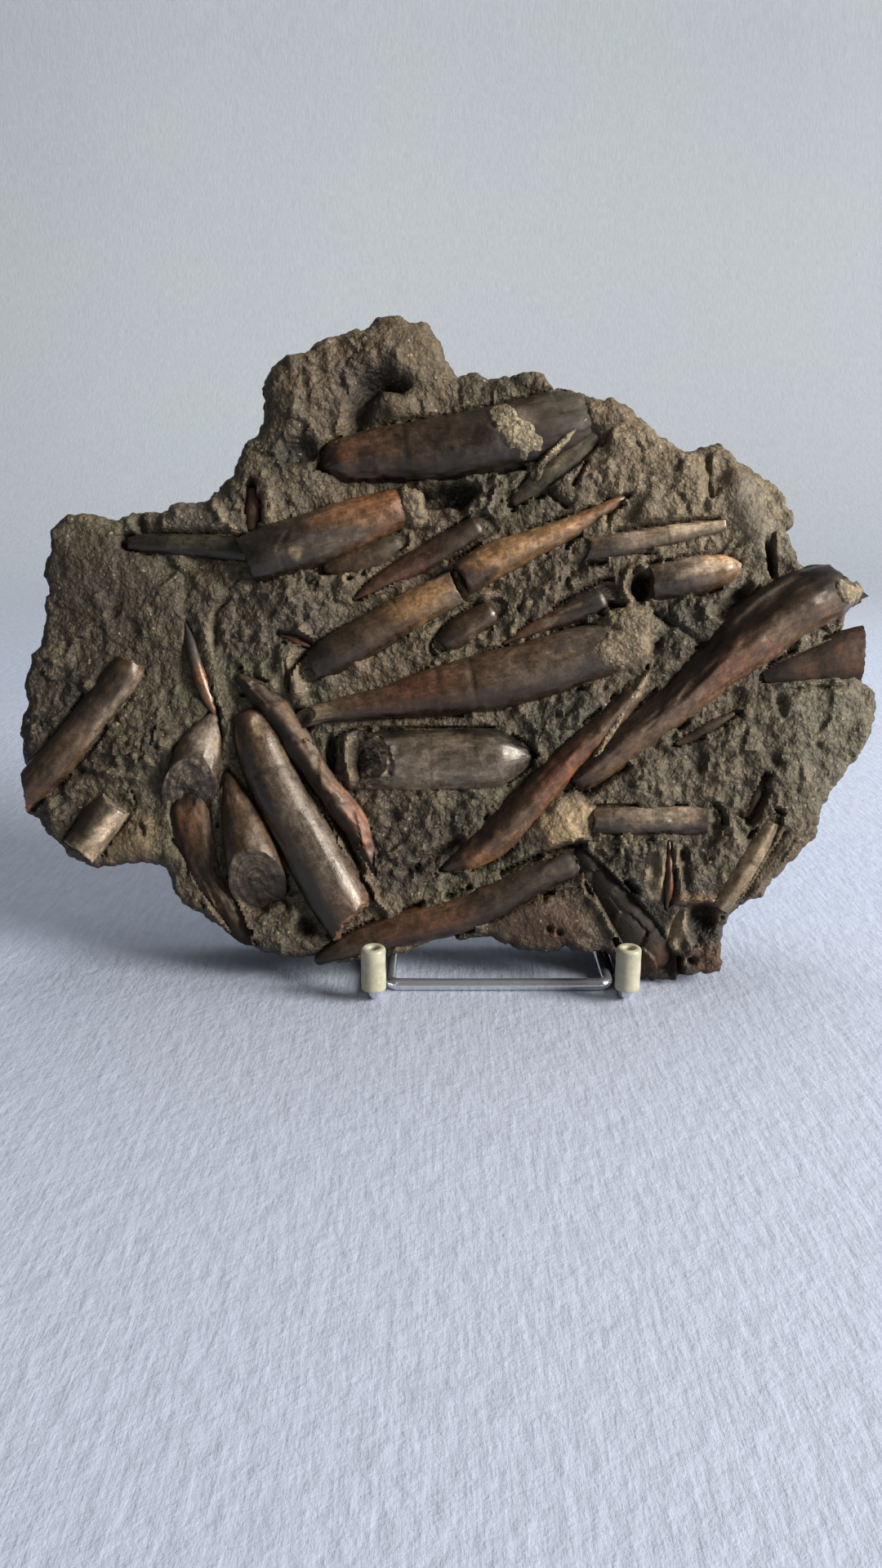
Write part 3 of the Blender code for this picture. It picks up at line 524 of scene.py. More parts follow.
# The rock.
print("rock: reading its outline")
rock = {
    "spacing": 0.56, "backSpacing": 1.9, "thickness": 28.5, "restHeight": 3.1, "backLift": 2, "shade": 0.72,
    "lit": (0.92, 0.38, 0), "warmth": (1, 0.975, 0.88), "tone": (94, 82, 65), "warmTone": (108, 87, 65),
    # the dark and pale tones for hollows and high grains are partly painted shade and painted highlight
    "coolTone": (84, 82, 64), "dirtAndShadeTone": (32, 27, 22), "rubbedAndLitTone": (158, 141, 116), "gaps": (0.35, -0.25),
    "outlineStep": 0.35, "outlineNoise": 3.1, "middle": (-1.6, 74), "faceDepth": -7, "backFrom": -26,
    # the two side numbers at the end of this line are painted light and painted shade
    "backShrink": 0.9, "backNoise": 40, "crisp": 48, "litSide": 0.32, "shadedSide": 0.22,
    # (how far in, height) of the rings of its sides
    "sideRings": [
        (0.1, -5.5), (-0.2, -8), (0.1, -11), (0.6, -14), (0.6, -17), (1.4, -20.5), (2, -23.5), (3.4, -26.3),
        (6.5, -28.2),
    ],
    # its outline on the drawing grid, clockwise from the left
    "outline": [
        (60, 648), (80, 630), (115, 627), (140, 631), (160, 623), (195, 624), (205, 616), (250, 609),
        (262, 600), (283, 583), (290, 560), (300, 545), (312, 535), (320, 515), (322, 490), (322, 465),
        (335, 448), (350, 434), (375, 432), (400, 415), (425, 402), (445, 400), (460, 388), (475, 385),
        (500, 386), (525, 392), (535, 405), (540, 415), (545, 440), (560, 455), (575, 452), (600, 463),
        (625, 460), (640, 455), (650, 452), (665, 455), (680, 470), (705, 472), (725, 480), (745, 480),
        (760, 490), (775, 500), (790, 515), (803, 522), (815, 535), (835, 545), (850, 548), (870, 546),
        (888, 537), (893, 548), (905, 562), (935, 575), (965, 605), (978, 635), (965, 645), (970, 665),
        (985, 685), (1000, 700), (1030, 703), (1045, 712), (1058, 722), (1062, 733), (1045, 745), (1037, 755),
        (1037, 768), (1050, 790), (1058, 815), (1062, 835), (1079, 845), (1075, 870), (1065, 905), (1045, 945),
        (1025, 975), (1010, 1000), (1005, 1025), (985, 1045), (960, 1070), (940, 1095), (920, 1105),
        (900, 1120), (887, 1135), (882, 1160), (882, 1188), (868, 1193), (860, 1190), (840, 1200), (830, 1203),
        (800, 1203), (785, 1200), (770, 1186), (752, 1172), (735, 1163), (690, 1163), (668, 1170), (640, 1166),
        (600, 1148), (580, 1150), (545, 1147), (530, 1152), (500, 1162), (480, 1168), (440, 1178), (395, 1182),
        (385, 1172), (345, 1172), (330, 1168), (310, 1165), (300, 1158), (280, 1145), (260, 1132), (240, 1118),
        (225, 1105), (210, 1090), (200, 1075), (190, 1063), (175, 1058), (150, 1060), (120, 1063), (100, 1060),
        (85, 1050), (65, 1030), (40, 1005), (18, 985), (30, 960), (24, 950), (22, 925), (18, 910), (20, 900),
        (22, 875), (28, 860), (23, 840), (30, 820), (38, 800), (45, 790), (50, 775), (52, 740), (57, 725),
        (48, 703), (50, 700), (60, 680),
    ],
    # (x, y, reach right, reach up, turn, height)
    "mounds": [
        (430, 450, 95, 55, 10, 5), (486, 502, 26, 20, -10, 2.6), (300, 575, 30, 40, 0, 1),
        (350, 500, 35, 55, 0, 2.2), (500, 430, 45, 45, 0, 2), (345, 590, 60, 35, 30, 1.4),
        (225, 635, 55, 22, 5, 2.2), (120, 700, 60, 60, 0, 1.6), (230, 730, 60, 40, 0, 0.6),
        (90, 850, 40, 70, -40, 1.6), (170, 905, 55, 45, 30, 1.4), (155, 1030, 40, 30, 0, 0.6),
        (370, 730, 60, 30, 10, 1.8), (455, 815, 70, 18, 20, 1), (330, 760, 60, 40, 0, 0.8),
        (500, 1035, 60, 45, 20, 0.6), (700, 700, 60, 40, 20, 1.4), (640, 740, 35, 30, 30, 1.6),
        (680, 600, 70, 35, 35, 1.5), (790, 560, 70, 60, -30, 2.6), (840, 610, 60, 40, 0, 1.8),
        (915, 620, 22, 60, 20, 2.4), (850, 755, 50, 35, 40, 1.8), (690, 885, 48, 35, 20, 2.2),
        (870, 960, 80, 60, 20, 1.6), (1000, 900, 60, 60, 40, 1.8), (960, 980, 50, 40, 40, 1.2),
        (780, 960, 60, 25, 10, 1.2), (690, 1010, 42, 26, 30, 2.4), (780, 1060, 35, 30, -20, 1),
        (880, 1060, 35, 35, 40, 1.2), (665, 1125, 60, 32, 5, 1.5), (330, 1140, 45, 30, -10, 0.8),
        (970, 1040, 40, 40, 45, -1.2),
    ],
    # (x, y, reach right, reach up, turn, depth, wall): wall is how sudden its side is, up to 1
    "pits": [
        (452, 470, 34, 22, 20, 2.6, 0.2), (476, 474, 13, 9, -20, 2.4, 0.3), (366, 556, 26, 19, 10, 3.6, 0.45),
        (545, 608, 48, 18, 5, 6.5, 0.5), (158, 664, 12, 13, 0, 4, 0.4), (170, 637, 9, 24, 10, 2.6, 0.3),
        (750, 747, 19, 12, 0, 6, 0.5), (785, 719, 12, 17, 0, 6, 0.5), (375, 1136, 17, 14, 0, 3.8, 0.4),
        (672, 1137, 5, 5, 0, 1.6, 0.4), (684, 1141, 5, 5, 0, 1.6, 0.4), (568, 704, 6, 9, 30, 3, 0.4),
        (861, 1126, 18, 26, -25, 3.4, 0.25), (846, 1177, 8, 7, 0, 2, 0.4), (905, 853, 12, 15, 20, 1.6, 0.2),
        (352, 830, 5, 26, 5, 3.4, 0.4), (128, 1045, 4, 6, 20, 1.4, 0.4), (173, 1017, 4, 9, 10, 1.4, 0.4),
        (882, 585, 14, 30, -14, 1.2, 0.1), (945, 680, 6, 28, 15, 3.5, 0.4), (902, 733, 34, 13, 42, 4.5, 0.4),
        (715, 1006, 12, 15, 0, 2.8, 0.4), (590, 1052, 6, 12, 30, 3, 0.4), (955, 862, 8, 24, 20, 1.2, 0.2),
        (852, 925, 14, 28, 0, 1.3, 0.2), (950, 935, 12, 14, 0, 1.2, 0.2), (95, 945, 12, 8, 30, 2, 0.3),
        (838, 1062, 7, 30, 0, 1.6, 0.3), (660, 560, 10, 14, 40, 1.6, 0.3), (318, 1088, 36, 32, 0, 4, 0.5),
        (236, 962, 32, 18, 5, 3, 0.4), (448, 932, 16, 32, 0, 2.6, 0.4), (404, 928, 9, 32, 0, 4, 0.5),
        (370, 882, 15, 14, 0, 2.4, 0.5), (876, 1004, 9, 16, 0, 1.8, 0.3), (1010, 842, 60, 4, 4, 1.2, 0.3),
        (700, 700, 26, 14, 30, 1.6, 0.2), (795, 780, 16, 24, 0, 2, 0.2), (480, 1000, 14, 10, 0, 1.6, 0.2),
    ],
    # (line of places, half width, height)
    "ridges": [
        ([(350, 806), (362, 836), (370, 856)], 2.2, 3),
        ([(762, 720), (767, 700), (781, 693), (795, 700)], 0.9, 2.2),
        ([(762, 720), (768, 738), (781, 745), (795, 738)], 0.9, 2),
        ([(555, 697), (562, 716), (577, 731), (600, 726)], 0.9, 2.2),
        ([(728, 508), (700, 532), (662, 568)], 0.6, 3.2), ([(608, 596), (594, 634)], 0.7, 1.6),
        ([(246, 745), (254, 800), (268, 868)], 1.7, 1.4),
        ([(377, 962), (410, 1020), (440, 1070), (476, 1122)], 0.8, 1.8),
        ([(400, 1000), (425, 1050), (452, 1100)], 0.6, 1.4),
        ([(695, 1038), (700, 1060), (716, 1082)], 0.8, 1.8),
        ([(715, 1084), (735, 1115), (758, 1152)], 1.2, 1.6),
        ([(748, 1065), (775, 1100), (800, 1130)], 0.5, 1.2),
        ([(822, 1103), (850, 1101), (882, 1104)], 0.9, 2.8),
        ([(835, 1112), (838, 1140), (846, 1162)], 1.6, 1.8), ([(956, 1020), (930, 1062), (900, 1108)], 0.8, 1),
        ([(972, 1030), (946, 1070), (915, 1106)], 0.9, 1), ([(98, 938), (130, 945), (175, 955)], 0.8, 1),
        ([(425, 900), (424, 930), (430, 962)], 1, 2.2), ([(326, 600), (330, 640)], 1.8, 1.8),
        ([(200, 620), (201, 650)], 0.8, 0.9), ([(258, 612), (275, 640), (288, 652)], 1, 1.4),
        ([(780, 700), (800, 740), (800, 745)], 0.5, 0.6), ([(490, 655), (494, 676)], 1, 1.4),
        ([(528, 668), (538, 684)], 0.8, 1.2), ([(826, 1035), (829, 1065), (832, 1098)], 0.9, 1.8),
        ([(808, 1040), (810, 1065), (806, 1088)], 1.2, 1.6),
        ([(445, 735), (480, 716), (510, 696), (545, 684)], 0.8, 1.6),
        ([(555, 679), (585, 668), (612, 656)], 1, 1.9), ([(748, 490), (744, 512), (746, 545)], 1.6, 1.6),
        ([(860, 1000), (880, 1002), (905, 1040)], 1.6, 1),
    ],
    # (line of places, half width, depth)
    "cracks": [
        ([(434, 530), (438, 505), (448, 484), (468, 470), (488, 474)], 2.3, 5),
        ([(717, 565), (710, 580), (702, 594)], 0.5, 2.4), ([(672, 602), (680, 612), (692, 620)], 0.7, 2.6),
        ([(612, 615), (622, 600), (640, 592)], 0.5, 1.6), ([(745, 625), (744, 640)], 0.6, 2),
        ([(865, 560), (867, 590), (870, 608)], 0.6, 1.4), ([(275, 735), (265, 750), (262, 790)], 0.8, 1.4),
        ([(345, 1100), (350, 1112)], 0.8, 1.4), ([(500, 1068), (530, 1048), (560, 1030)], 1, 2.6),
        ([(150, 830), (140, 850), (118, 880)], 0.4, 1), ([(210, 1030), (232, 1056), (228, 1070)], 0.5, 1),
        ([(598, 1128), (630, 1108), (670, 1096), (712, 1086)], 0.7, 1.8),
        ([(832, 1118), (824, 1140), (818, 1160)], 0.6, 1.8),
        ([(330, 880), (345, 905), (372, 950), (400, 985), (425, 1035), (440, 1068)], 1, 4),
        ([(800, 752), (835, 772), (860, 790)], 0.6, 1.4), ([(948, 655), (944, 680), (950, 705)], 0.7, 2.6),
        ([(1000, 702), (1012, 706), (1020, 718)], 0.5, 1.4),
        ([(962, 1018), (938, 1056), (902, 1112)], 0.4, 1.2),
        ([(974, 1026), (950, 1064), (918, 1108)], 0.35, 1),
        ([(984, 1038), (962, 1070), (938, 1098)], 0.35, 0.9),
    ],
    # rock that still covers part of a guard: (x, y, reach right, reach up, turn, level)
    "covers": [
        (618, 519, 22, 17, -40, None), (634, 535, 25, 20, -30, None), (649, 553, 17, 20, 20, None),
        (655, 575, 13, 19, 10, None), (688, 544, 34, 4, 44, 4), (758, 879, 74, 5, 58, 2.4),
        (762, 800, 42, 44, 10, None), (772, 768, 30, 22, 0, 3.4), (1034, 720, 30, 20, -25, None),
        (1048, 731, 22, 16, 0, 1.2), (737, 505, 22, 34, 30, 1.6), (503, 620, 14, 20, 20, 3),
        (690, 1004, 36, 22, 30, 2.8),
    ],
    # (x, y, reach right, reach up, turn, amount) of calm, nearly smooth rock
    "calm": [
        (808, 1185, 60, 22, 0, 0.85), (770, 1140, 40, 40, -50, 0.6), (664, 1132, 70, 34, 8, 0.75),
        (915, 625, 26, 70, 20, 0.75), (520, 430, 30, 50, 0, 0.5), (130, 690, 80, 70, 0, 0.4),
        (480, 500, 30, 22, 0, 0.5), (160, 1040, 50, 22, 0, 0.5), (945, 1065, 22, 60, -35, 0.6),
        (803, 1072, 13, 36, 0, 0.7), (355, 835, 18, 36, -15, 0.6), (688, 1008, 40, 28, 30, 0.6),
        (829, 1142, 12, 26, -8, 0.9), (985, 905, 80, 90, 0, 0.3),
    ],
    # (x, y, reach right, reach up, turn, amount) of crumbly grain; elsewhere the rock is smoother
    "crumble": [
        (640, 720, 90, 60, 30, 1), (800, 760, 80, 50, 0, 1), (690, 885, 55, 40, 0, 1),
        (870, 950, 130, 90, 20, 0.75), (510, 1030, 70, 60, 20, 0.9), (160, 910, 70, 50, 30, 1),
        (380, 730, 80, 40, 0, 0.8), (780, 1040, 70, 35, 0, 1.1), (590, 600, 60, 50, 40, 0.9),
        (330, 880, 30, 20, 0, 0.8), (430, 1100, 40, 30, 0, 0.8), (866, 1020, 34, 40, 0, 1),
        (700, 590, 60, 50, 0, 0.7), (500, 810, 50, 25, 0, 0.8), (1000, 780, 40, 14, 35, 0.9),
        (300, 770, 60, 50, 0, 0.6),
    ],
    # (x, y, reach right, reach up, turn, tone, amount); the dark ones at (450, 480), (365, 555), (861, 1128)
    # and (808, 1138), in hollows and creases, and at (60, 680) on the left rim are painted shade
    "patches": [
        (430, 455, 150, 90, 10, (102, 87, 67), 0.9), (840, 600, 150, 100, -20, (128, 113, 91), 0.95),
        (960, 690, 60, 60, 0, (114, 104, 86), 0.8), (1010, 900, 90, 130, 0, (110, 103, 86), 0.8),
        (130, 740, 130, 110, 0, (68, 58, 45), 0.9), (60, 900, 70, 120, 0, (53, 45, 35), 0.85),
        (230, 630, 70, 25, 0, (96, 86, 74), 0.7), (320, 760, 100, 60, 0, (84, 73, 62), 0.8),
        (690, 885, 60, 45, 20, (76, 73, 60), 0.8), (500, 1035, 80, 60, 20, (64, 55, 45), 0.8),
        (160, 930, 80, 60, 0, (76, 66, 52), 0.6), (160, 1030, 45, 35, 0, (122, 103, 80), 0.7),
        (690, 1008, 44, 32, 30, (158, 136, 106), 0.95), (800, 1120, 100, 90, 0, (58, 52, 44), 0.85),
        (800, 960, 70, 25, 0, (112, 102, 86), 0.6), (880, 960, 90, 50, 0, (98, 88, 72), 0.6),
        (664, 1130, 70, 36, 8, (84, 62, 48), 0.9), (812, 1184, 62, 20, 0, (64, 48, 38), 0.95),
        (861, 1128, 20, 26, -20, (38, 31, 25), 0.9), (868, 1176, 20, 20, 0, (98, 68, 50), 0.8),
        (829, 1142, 11, 26, -8, (200, 180, 154), 0.95), (808, 1138, 9, 30, -8, (30, 25, 20), 0.8),
        (758, 879, 78, 8, 58, (142, 124, 100), 0.9), (850, 1100, 34, 8, 0, (128, 92, 66), 0.7),
        (775, 1120, 30, 44, -40, (44, 42, 35), 0.8), (640, 690, 40, 14, 30, (112, 102, 86), 0.5),
        (634, 538, 30, 38, 0, (172, 157, 132), 0.95), (688, 544, 38, 7, 44, (176, 160, 136), 0.9),
        (802, 1072, 13, 34, 0, (146, 130, 108), 0.7), (350, 835, 18, 40, -10, (134, 120, 102), 0.6),
        (252, 800, 12, 60, -6, (112, 98, 82), 0.7), (915, 625, 26, 60, 15, (128, 118, 104), 0.7),
        (1040, 724, 34, 26, 0, (132, 118, 96), 0.9), (420, 1090, 50, 40, 0, (112, 99, 84), 0.5),
        (895, 1060, 50, 60, 40, (104, 93, 78), 0.6), (450, 480, 60, 45, 0, (60, 52, 44), 0.55),
        (365, 555, 40, 25, 0, (56, 48, 40), 0.7), (780, 720, 34, 30, 0, (112, 96, 78), 0.6),
        (580, 600, 50, 30, 0, (96, 86, 73), 0.5), (830, 770, 60, 40, 0, (66, 60, 51), 0.6),
        (330, 1150, 60, 30, 0, (84, 74, 62), 0.6), (60, 680, 24, 60, 0, (50, 44, 37), 0.6),
        (312, 620, 12, 40, 0, (78, 58, 44), 0.7),
    ],
}


def roundOutline():
    # the outline with small knocks between its corners
    corners = [onPlate(x, y) for x, y in rock["outline"]]
    fine, outward = [], []
    for (au, av), (bu, bv) in zip(corners, corners[1:] + corners[:1]):
        length = math.hypot(bu - au, bv - av)
        steps = max(1, round(length / rock["outlineStep"]))
        for part in (step / steps for step in range(steps)):
            fine.append((au + (bu - au) * part, av + (bv - av) * part, rock["outlineNoise"]))
            outward.append(((av - bv) / length, (bu - au) / length))
    fine, outward = np.array(fine), np.array(outward)
    knock = 0.55 * fractal(fine, 3.2, 3, 0.55, seed=3) + 0.5 * chips(fine, 3.6, seed=4)
    return fine[:, :2] + outward * knock[:, None]


rimLine = roundOutline()


def guardLines(u, v, guard):
    # distance to a guard's axis, its side, and the radius and level there
    distance, side, run, length = alongLine(u, v, guard["centre"][:, :2].tolist())
    scaled = guard["knots"] * length / guard["knots"][-1]
    radius, level = (np.interp(run, scaled, values) for values in (guard["radius"], guard["centre"][:, 2]))
    return distance, side, radius, level


def raiseLines(height, u, v, wobble):
    # ridges stand up and fade at their ends, hollows and cracks go down
    for line, halfWidth, lift in rock["ridges"]:
        distance, side, run, length = alongLine(u, v, [onPlate(x, y) for x, y in line])
        ends = ramp(run, -0.1, 0.12 * length) * (1 - ramp(run, 0.88 * length, 1.02 * length)) * 0.6 + 0.4
        height += lift * ends * np.exp(-((distance + 0.25 * wobble) / halfWidth) ** 2)
    hollow = np.zeros(len(u))
    for x, y, reachX, reachY, turn, depth, wall in rock["pits"]:
        sunk = 1 - ramp(blob(u, v, x, y, reachX, reachY, turn) + 0.26 * wobble, wall * 0.75, 1.12)
        height -= depth * sunk
        hollow = np.maximum(hollow, sunk * min(depth / 5, 1))
    for line, halfWidth, depth in rock["cracks"]:
        distance = alongLine(u, v, [onPlate(x, y) for x, y in line])[0]
        height -= depth * np.exp(-((distance + 0.15 * wobble) / halfWidth) ** 2)
    return hollow


def fitGuards(height, u, v, wobble, opened):
    # the rock stays under each guard's back, meets its flanks, and here and there falls away beside it
    backs = np.full(len(u), -50.0)
    for guard in guards.values():
        distance, side, radius, level = guardLines(u, v, guard)
        beyond, q = distance - radius, distance / np.maximum(radius, 0.3)
        top = level + guard["out"] * np.sqrt(np.maximum(radius ** 2 - distance ** 2, 0))
        # no higher than 1.2 mm under the back, free again beyond the flank
        height = np.minimum(height, top - 1.2 + 8 * ramp(q, 0.7, 1.05) + 30 * ramp(beyond, 0.0, 0.6))
        backs = np.where(distance < radius, np.maximum(backs, top), backs)
        left, right = guard.get("gaps", rock["gaps"])
        mask = ramp(opened + np.where(side > 0, left, right), -0.15, 0.35)
        # a groove that follows the flank where the mask opens it
        slope = level - 0.9 + 3.2 * np.abs(beyond - 0.25 - 0.3 * wobble) + 9 * (1 - mask)
        height = np.where(beyond > -0.35 * radius, np.minimum(height, slope), height)
    return height, backs


def rockHeight(u, v, rim):
    places = np.stack([u, v, np.zeros(len(u))], axis=1)
    base = 0.9 * fractal(places, 30, 3, seed=1) + 0.45 * fractal(places, 11, 3, seed=2)
    for *where, lift in rock["mounds"]:
        base += lift * np.exp(-0.9 * blob(u, v, *where) ** 2.4)
    crumble = np.zeros(len(u))
    for reach, amount in spread(places, rock["crumble"], 0.6, 1.25):
        crumble = np.maximum(crumble, amount * reach)
    # one wobble bends the edges of all listed shapes
    wobble = 0.7 * fractal(places, 4.5, 3, seed=4)
    height = base.copy()
    hollow = raiseLines(height, u, v, wobble)
    warped = places + np.stack([wobble, fractal(places, 4, 2, seed=8), 0 * wobble], axis=1) * 1.1
    grain = 1.7 * chips(warped, 6.2, 1) + 1.1 * chips(warped, 3.4, 15) + 0.9 * pebbles(warped, 2.3, 2)
    soft = fractal(places, 2.4, 3, 0.6, seed=6)
    lumps = (0.6 * pebbles(warped, 3.6, 5) + 0.7 * fractal(warped, 6.0, 4, 0.5, seed=16)
             + 0.7 * chips(warped, 4.2, 18))
    broad = 0.85 * lumps + 1.1 * chips(warped, 9, 7)
    rise = crumble * grain + (0.25 + 0.15 * crumble) * soft + (1 - 0.8 * crumble) * broad
    rise = np.where(rise < 0, np.tanh(rise), 1.05 * rise)  # no dent is deeper than 1 mm
    for reach, amount in spread(places, rock["calm"], 0.6, 1.2):
        rise *= 1 - amount * reach
    height, backs = fitGuards(height + rise, u, v, wobble, fractal(places, 6.5, 3, seed=11))
    for *where, level in rock["covers"]:
        q = blob(u, v, *where) + 0.3 * wobble
        crust = level if level is not None else np.maximum(backs, -2) + 0.5
        cover = crust + 0.24 * grain + 0.2 * soft - 4.0 * np.maximum(q - 0.7, 0)
        height = np.where(q < 1.3, np.maximum(height, cover), height)
    # the face rounds off towards the rim
    reach = np.clip(3.0 + 1.8 * fractal(places, 14, 2, seed=9), 1.0, 6)
    fall = np.clip(1 - rim / reach, 0, 1)
    height = height * (1 - 0.45 * fall) - reach * 0.8 * (1 - np.sqrt(np.maximum(1 - fall ** 2, 0)))
    return height, np.stack([height - base, crumble, hollow], axis=1)


def sheet(name, spacing, line, box):
    # a flat grid cut to a closed line, with its edge drawn onto the line
    left, right, low, high = box
    deselectAll()
    columns, rows = round((right - left) / spacing), round((high - low) / spacing)
    bpy.ops.mesh.primitive_grid_add(x_subdivisions=columns, y_subdivisions=rows, size=1,
                                    location=((left + right) / 2, (low + high) / 2, 0))
    piece = added(name)
    piece.scale = (columns * spacing, rows * spacing, 1)
    applyPlace(piece)
    loose = ~isInside(*spots(piece)[:, :2].T, line)
    while loose.any():
        select(piece, "vertices", loose)
        bpy.ops.mesh.delete(type="VERT")
        leaveEdit()
        mesh, count = piece.data, len(piece.data.vertices)
        uses = np.bincount(read(mesh.loops, "edge_index", 1, int), minlength=len(mesh.edges))
        openEnds = np.bincount(read(mesh.edges, "vertices", 2, int)[uses < 2].ravel(), minlength=count)
        # what hangs on by a point goes too
        loose = (openEnds > 2) | (np.bincount(read(mesh.loops, "vertex_index", 1, int), minlength=count) == 0)
    places, onRim, find = spots(piece), openEnds == 2, nearLine(line)
    places[onRim, :2] = find(*places[onRim, :2].T)[0]
    moveSpots(piece, places)
    return piece, onRim, find


def selectOpenEdges(piece):
    pick(piece)
    edit("EDGE")
    bpy.ops.mesh.select_all(action="DESELECT")
    bpy.ops.mesh.select_non_manifold(extend=False, use_wire=False, use_multi_face=False,
                                     use_non_contiguous=False, use_verts=False)


def lowestV(w):
    lean = math.radians(plate["lean"])
    return (rock["restHeight"] - plate["footZ"] - w * math.sin(lean)) / math.cos(lean)


def makeSides(piece, middle):
    # ring after ring is drawn back from the rim and roughened
    for inward, depth in rock["sideRings"]:
        selectOpenEdges(piece)
        extrude()
        leaveEdit()
        chosen = read(piece.data.vertices, "select", 1, bool)
        root = getVectors(piece, "home")[chosen][:, :2]
        where = np.column_stack([root, np.full(len(root), depth * 1.3)])
        bulge = (1.1 * chips(where, 7, 12) + 0.9 * fractal(where, 8, 4, 0.55, seed=12)
                 + 0.5 * pebbles(where, 2.6, 13))
        lower = fractal(where * [1, 1, 0], 24, 2, seed=14)
        shifted = root + unit(middle - root) * (inward + np.maximum(bulge + 0.8 * lower, -0.6))[:, None]
        lift = rock["backLift"] if depth < rock["backFrom"] else 0
        shifted[:, 1] = np.maximum(shifted[:, 1], lowestV(depth) + lift + 0.25 * np.abs(bulge))
        places = spots(piece)
        places[chosen] = np.column_stack([shifted, np.full(len(root), depth) + 0.35 * lower])
        moveSpots(piece, places)


def makeRock():
    print("rock: face")
    (left, low), (right, high) = rimLine.min(axis=0), rimLine.max(axis=0)
    box = (left - 1, right + 1, low - 1, high + 1)
    piece, onRim, find = sheet("matrixRock", rock["spacing"], rimLine, box)
    places = spots(piece)
    rim = find(*places[:, :2].T)[1]
    rim[onRim] = 0
    places[:, 2], kind = rockHeight(places[:, 0], places[:, 1], rim)
    moveSpots(piece, places)
    putAttribute(piece, "kind", kind)
    putAttribute(piece, "home", places * [1, 1, 0])

    print("rock: sides")
    middle = np.array(rock["middle"])
    makeSides(piece, middle)

    print("rock: back")
    shrunk = middle + (rimLine - middle) * rock["backShrink"]
    shrunk[:, 1] = np.maximum(shrunk[:, 1], lowestV(-rock["thickness"]) + rock["backLift"] + 1.5)
    back = sheet("matrixBack", rock["backSpacing"], shrunk, box)[0]
    places = spots(back)
    flat = places * [1, 1, 0] - [0, 0, rock["backNoise"]]
    relief = 1.2 * chips(flat, 17, 21) + 0.5 * fractal(flat, 9, 4, 0.5, seed=22) + 0.35 * pebbles(flat, 4, 23)
    places[:, 2] = np.clip(0.55 + relief, 0.15, 1.6) - rock["thickness"] - 0.2
    moveSpots(back, places)
    putAttribute(back, "kind", np.stack([relief, relief * 0 + 0.3, relief * 0], axis=1))
    putAttribute(back, "home", places)
    pick(piece)
    back.select_set(True)
    bpy.ops.object.join()
    selectOpenEdges(piece)
    bpy.ops.mesh.bridge_edge_loops()
    closeUp(rock["crisp"])
    return piece


def mixTone(colours, tone, amount):
    amount = np.clip(amount, 0, 1)[:, None]
    return colours * (1 - amount) + np.array(linear(tone)) * amount


def paintRock(piece):
    places, kind = spots(piece), getVectors(piece, "kind")
    front = places[:, 2] > rock["faceDepth"]
    colours = np.tile(linear(rock["tone"]), (len(places), 1))
    tint = fractal(places, 26, 3, seed=31)
    colours = mixTone(colours, rock["warmTone"], 0.5 * ramp(tint, 0.0, 1.0))
    colours = mixTone(colours, rock["coolTone"], 0.6 * ramp(-tint, 0.0, 1.0))
    stir = 0.25 * fractal(places, 6, 3, seed=33)
    for reach, tone, amount in spread(places, rock["patches"], 0.55, 1.15, stir):
        colours = mixTone(colours, tone, amount * reach * front)
    colours = mixTone(colours, rock["tone"], 0.8 * ~front)
    # hollows and pits are darkened, partly grime and partly painted shade, and high grains are painted paler,
    # partly wear and partly painted highlight
    relief = np.where(front, kind[:, 0], 0)
    colours = mixTone(colours, rock["dirtAndShadeTone"], 0.45 * ramp(-relief, 0.5, 3.0) + 0.4 * kind[:, 2] * front)
    colours = mixTone(colours, rock["rubbedAndLitTone"], 0.4 * ramp(relief, 0.2, 1.9))
    # painted light on sides turned to the window, painted shade on the others
    aside = read(piece.data.vertices, "normal") @ np.array(rock["lit"])
    colours[:, :3] *= (1 + front * (rock["litSide"] * ramp(aside, 0.0, 0.6)
                                    - rock["shadedSide"] * ramp(-aside, 0.1, 0.7)))[:, None]
    colours[:, :3] *= np.array(rock["warmth"]) * rock["shade"]
    # the paint's fourth number is how gritty each place is
    for reach, amount in spread(places, rock["calm"], 0.6, 1.2):
        colours[:, 3] *= 1 - amount * reach
    putAttribute(piece, "paint", colours)


matrixRock = makeRock()
paintRock(matrixRock)
print("rock:", len(matrixRock.data.polygons), "faces")

# What all guards share.
# after the window's direction come the painted shade on the flank away from it and the painted light on the
# flank toward it
guardLook = {"detail": 0.5, "shade": 0.5, "lit": (0.92, 0.38, 0.0), "leeShade": 0.78, "paintedLight": 0.5,
             "warmth": (1.0, 0.97, 0.9), "around": (24, 88), "fewestRings": 10, "faceRings": 16,
             "crackWidth": 0.12, "crackDepth": 0.2, "plainBreak": 0.1, "crisp": 50}


def squeeze(t, ends, radius, length):
    # how far each ring is drawn in, so that an end that isn't broken closes round
    factor = np.ones(len(t))
    for end, endRadius, away in (("start", radius[0], t), ("end", radius[-1], length - t)):
        if end not in ends and endRadius > 0.5:
            factor *= np.sqrt(np.clip(1 - (1 - np.clip(away / (0.75 * endRadius), 0, 1)) ** 2, 0.002, 1))
    return factor


